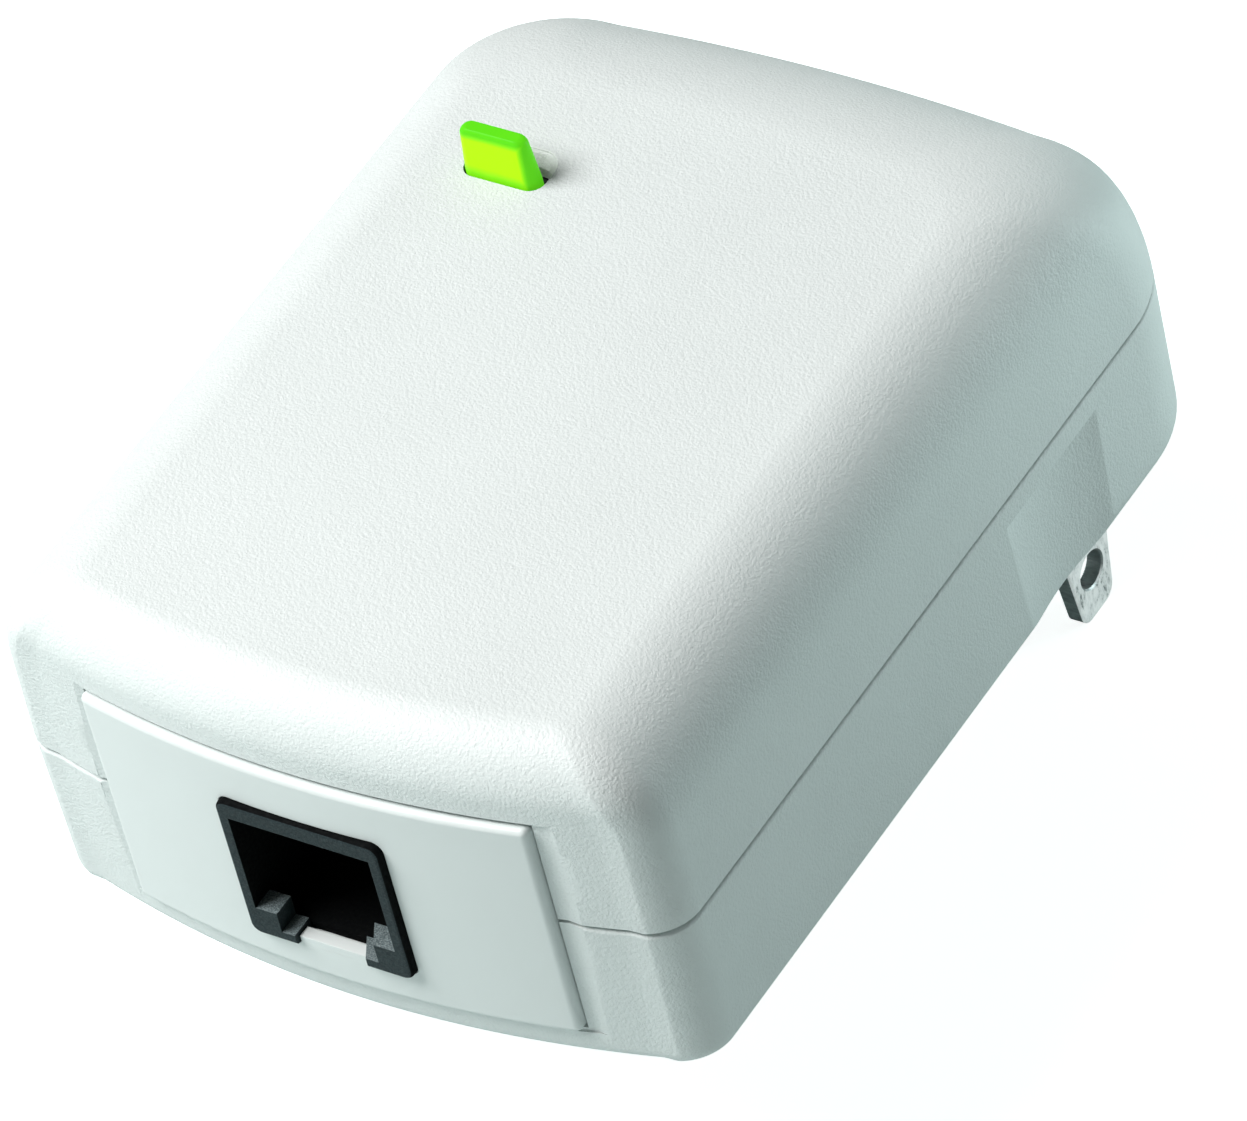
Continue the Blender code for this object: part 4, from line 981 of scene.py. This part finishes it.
def make_button():
    """Lit key with a rounded top, and the flange that holds it in the case, which takes the near-black
    switch plastic as painted shade for the gap round the key.
    """
    proud = BUTTON_HIGH.z - CASE_HEIGHT
    levels = [(BUTTON_LOW.z, 0.0, 0.0), (CASE_HEIGHT, 0.0, 0.0)]
    levels += [(CASE_HEIGHT + proud * share, share, 0.0) for share in (0.3, 0.6)]
    for angle in quarter(10):
        z = CASE_HEIGHT + proud - KEY_TOP_ROUND * (1 - math.sin(angle))
        share = (z - CASE_HEIGHT) / proud
        levels.append((z, share, KEY_TOP_ROUND * (1 - math.cos(angle))))
    rings = []
    for z, share, inset in levels:
        width = KEY_WIDTH + (KEY_TOP_WIDTH - KEY_WIDTH) * share - 2 * inset
        deep = KEY_THICKNESS + (KEY_TOP_THICKNESS - KEY_THICKNESS) * share - 2 * inset * KEY_EDGE_SHARE
        rings.append([(KEY_X + x, KEY_Y + y, z) for x, y in pill(width, deep)])
    key = show("light_key", loft_mesh("key", rings), "button", "light_key", ["pairing_button"])
    shine_only_on(key, [key])
    low = CASE_HEIGHT - WALL - GAP - KEY_FLANGE
    wide = SLOT_WIDTH / 2 + KEY_OVERLAP
    flange = box_mesh("flange", (SLOT_X - wide, SLOT_FRONT - KEY_OVERLAP, low),
                      (SLOT_X + wide, SLOT_BACK + KEY_OVERLAP, low + KEY_FLANGE))
    hole = loft_mesh("hole", [[(KEY_X + x, KEY_Y + y, z) for x, y in pill(KEY_WIDTH, KEY_THICKNESS)]
                              for z in (low - REACH, low + KEY_FLANGE + REACH)])
    mesh = carved(bevelled(flange, 0.2 * MM, 2), [cut(hole)])
    # Painted shade: the flange wears the near-black switch plastic so that the slot's gap round the key
    # reads as dark.
    show("key_flange", mesh, "button", "switch_case", ["pairing_button"])


# ---------------------------------------------------------------- blades and screws

def blade_outline():
    """Side view of a blade, (y, z), tapered to a round-cornered tip, with its tail inside."""
    half = BLADE_WIDTH / 2
    tip = BLADE_TIP_WIDTH / 2
    tail = BLADE_TAIL_WIDTH / 2
    low = -BLADE_LENGTH
    corner = arc(tip - BLADE_TIP_ROUND, low + BLADE_TIP_ROUND, BLADE_TIP_ROUND, -90, -10, 12)
    right = corner + [(half, low + BLADE_TAPER_LENGTH), (half, BLADE_SHOULDER_Z),
                      (tail, BLADE_SHOULDER_Z), (tail, BLADE_HIGH.z)]
    return right + [(-y, z) for y, z in reversed(right)]


def blade_ring(x, eased):
    """The blade's outline in the plane x; an eased one is drawn in, most of all round the tip."""
    ring = []
    for y, z in blade_outline():
        share = min(max((-z - BLADE_LENGTH + 3 * MM) / (2 * MM), 0), 1)
        inset = (BLADE_EDGE + (BLADE_TIP_CHAMFER - BLADE_EDGE) * share) * eased
        ring.append((x, PLUG_Y + y - math.copysign(inset, y), z + inset * share))
    return ring


def make_blades():
    edge_finish = sheared_finish()
    blades = []
    for side, hand in ((-1, "left"), (1, "right")):
        x = PLUG_X + side * BLADE_SPACING / 2
        half = BLADE_THICKNESS / 2
        ease = half - BLADE_EDGE_DEPTH
        blank = loft_mesh("blank", [blade_ring(x - half, 1), blade_ring(x - ease, 0),
                                    blade_ring(x + ease, 0), blade_ring(x + half, 1)])
        circle, flare = [arc(PLUG_Y, -BLADE_HOLE_DEPTH, radius, 0, 360, 64)[:-1]
                         for radius in (BLADE_HOLE_RADIUS, BLADE_HOLE_RADIUS + BLADE_HOLE_FLARE)]
        reach = half + REACH
        hole = loft_mesh("hole", [[(x + across, y, z) for y, z in ring] for across, ring in
                                  ((-reach, flare), (-half, flare), (-ease, circle), (ease, circle),
                                   (half, flare), (reach, flare))])
        blades.append(show(f"plug_blade_{hand}", carved(blank, [cut(hole)]), "root", "blades",
                           [f"blade_{hand}"], others=(edge_finish,),
                           pick=lambda face: int(abs(face.normal.x) < 0.8)))
    return blades


def thread_profile():
    """(radius, z) up a screw: head with a rounded rim, then a thread of plain ridges."""
    head = SCREW_HEAD_RADIUS
    rim = 0.5 * MM
    core = SCREW_RADIUS * 0.76
    profile = [(head - rim + rim * math.cos(a), HEAD_RECESS + rim * (1 - math.sin(a)))
               for a in reversed(quarter(5))]
    under = HEAD_RECESS + SCREW_HEAD_HEIGHT
    profile += [(head, under - 0.1 * MM), (head - 0.1 * MM, under), (SCREW_RADIUS * 0.8, under)]
    z = under + 0.4 * MM
    tip = HEAD_RECESS + SCREW_LENGTH
    while z < tip - 1.4 * MM:
        profile += [(core, z), (SCREW_RADIUS, z + SCREW_PITCH / 2)]
        z += SCREW_PITCH
    return profile + [(core, tip - 1.0 * MM), (SCREW_RADIUS * 0.45, tip)]


def make_screws():
    for number, (x, y) in enumerate(screw_places(), 1):
        tools = []
        for wide, deep in ((CROSS_HALF_WIDTH, CROSS_ARM), (CROSS_ARM, CROSS_HALF_WIDTH)):
            rings = []
            for z, share in ((HEAD_RECESS - REACH, 1.0), (HEAD_RECESS, 1.0),
                             (HEAD_RECESS + CROSS_DEPTH, CROSS_TAPER)):
                half_x = wide * (share if wide > deep else 1)
                half_y = deep * (share if deep > wide else 1)
                rings.append([(x + i * half_x, y + j * half_y, z) for i, j in
                              ((-1, -1), (1, -1), (1, 1), (-1, 1))])
            tools.append(cut(loft_mesh("cross", rings)))
        mesh = carved(turned_mesh("screw", thread_profile(), x, y), tools)
        show(f"screw_{number}", mesh, "root", "screws", [f"case_screw_{number}"])


# ---------------------------------------------------------------- studio

def make_floor():
    bm = bmesh.new()
    bm.faces.new([bm.verts.new((i * FLOOR_HALF, j * FLOOR_HALF, FLOOR_Z))
                  for i, j in ((-1, -1), (1, -1), (1, 1), (-1, 1))])
    mesh = finish_mesh(bm, "floor")
    mesh.materials.append(floor_finish())
    floor = bpy.data.objects.new("floor", mesh)
    bpy.context.scene.collection.objects.link(floor)
    shine_only_on(floor, [floor])


def make_light(name, direction, distance, size, power, colour=(1, 1, 1)):
    """A square soft box that shines on the object from a direction."""
    light = bpy.data.lights.new(name, "AREA")
    light.shape = "SQUARE"
    light.size = size
    light.energy = power
    light.color = colour
    lamp = bpy.data.objects.new(name, light)
    aim = Vector(direction).normalized()
    lamp.location = LIT_POINT + aim * distance
    lamp.rotation_euler = aim.to_track_quat("Z", "Y").to_euler()
    bpy.context.scene.collection.objects.link(lamp)
    return lamp


def make_studio(blades):
    make_floor()
    make_light("key_light", (-0.52, -0.34, 0.86), 0.6, 0.34, 5.55, (1.0, 0.985, 0.98))
    make_light("rear_light", (0.72, 0.80, 0.07), 0.22, 0.05, 0.2, (0.85, 1.0, 1.0))
    make_light("front_fill", (-0.08, -1.0, 0.0), 0.5, 0.3, 0.74, (0.92, 1.0, 0.99))
    shine_only_on(make_light("blade_fill", (1.0, 0.1, 0.1), 0.4, 0.3, 1.1), blades)
    world = bpy.data.worlds.new("studio")
    world.use_nodes = True
    sky = world.node_tree.nodes["Background"]
    sky.inputs["Color"].default_value = SKY_COLOUR
    sky.inputs["Strength"].default_value = SKY_STRENGTH
    bpy.context.scene.world = world
    bpy.context.scene.view_settings.view_transform = "Standard"


def make_camera():
    camera = bpy.data.cameras.new("camera")
    camera.lens = CAMERA_LENS
    camera.sensor_width = 36.0
    camera.clip_start = 0.05
    item = bpy.data.objects.new("camera", camera)
    item.location = CAMERA_PLACE
    item.rotation_euler = [math.radians(turn) for turn in CAMERA_TURN]
    bpy.context.scene.collection.objects.link(item)
    bpy.context.scene.camera = item


# ---------------------------------------------------------------- build

FINISHES = slot_finishes()
make_camera()
for node, slot in NODE_SLOTS.items():
    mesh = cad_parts[node].data
    mesh.materials.clear()
    mesh.materials.append(FINISHES[slot])
make_front_cover()
make_rear_cover()
make_plate()
make_jack()
make_button()
plug_blades = make_blades()
make_screws()
make_studio(plug_blades)
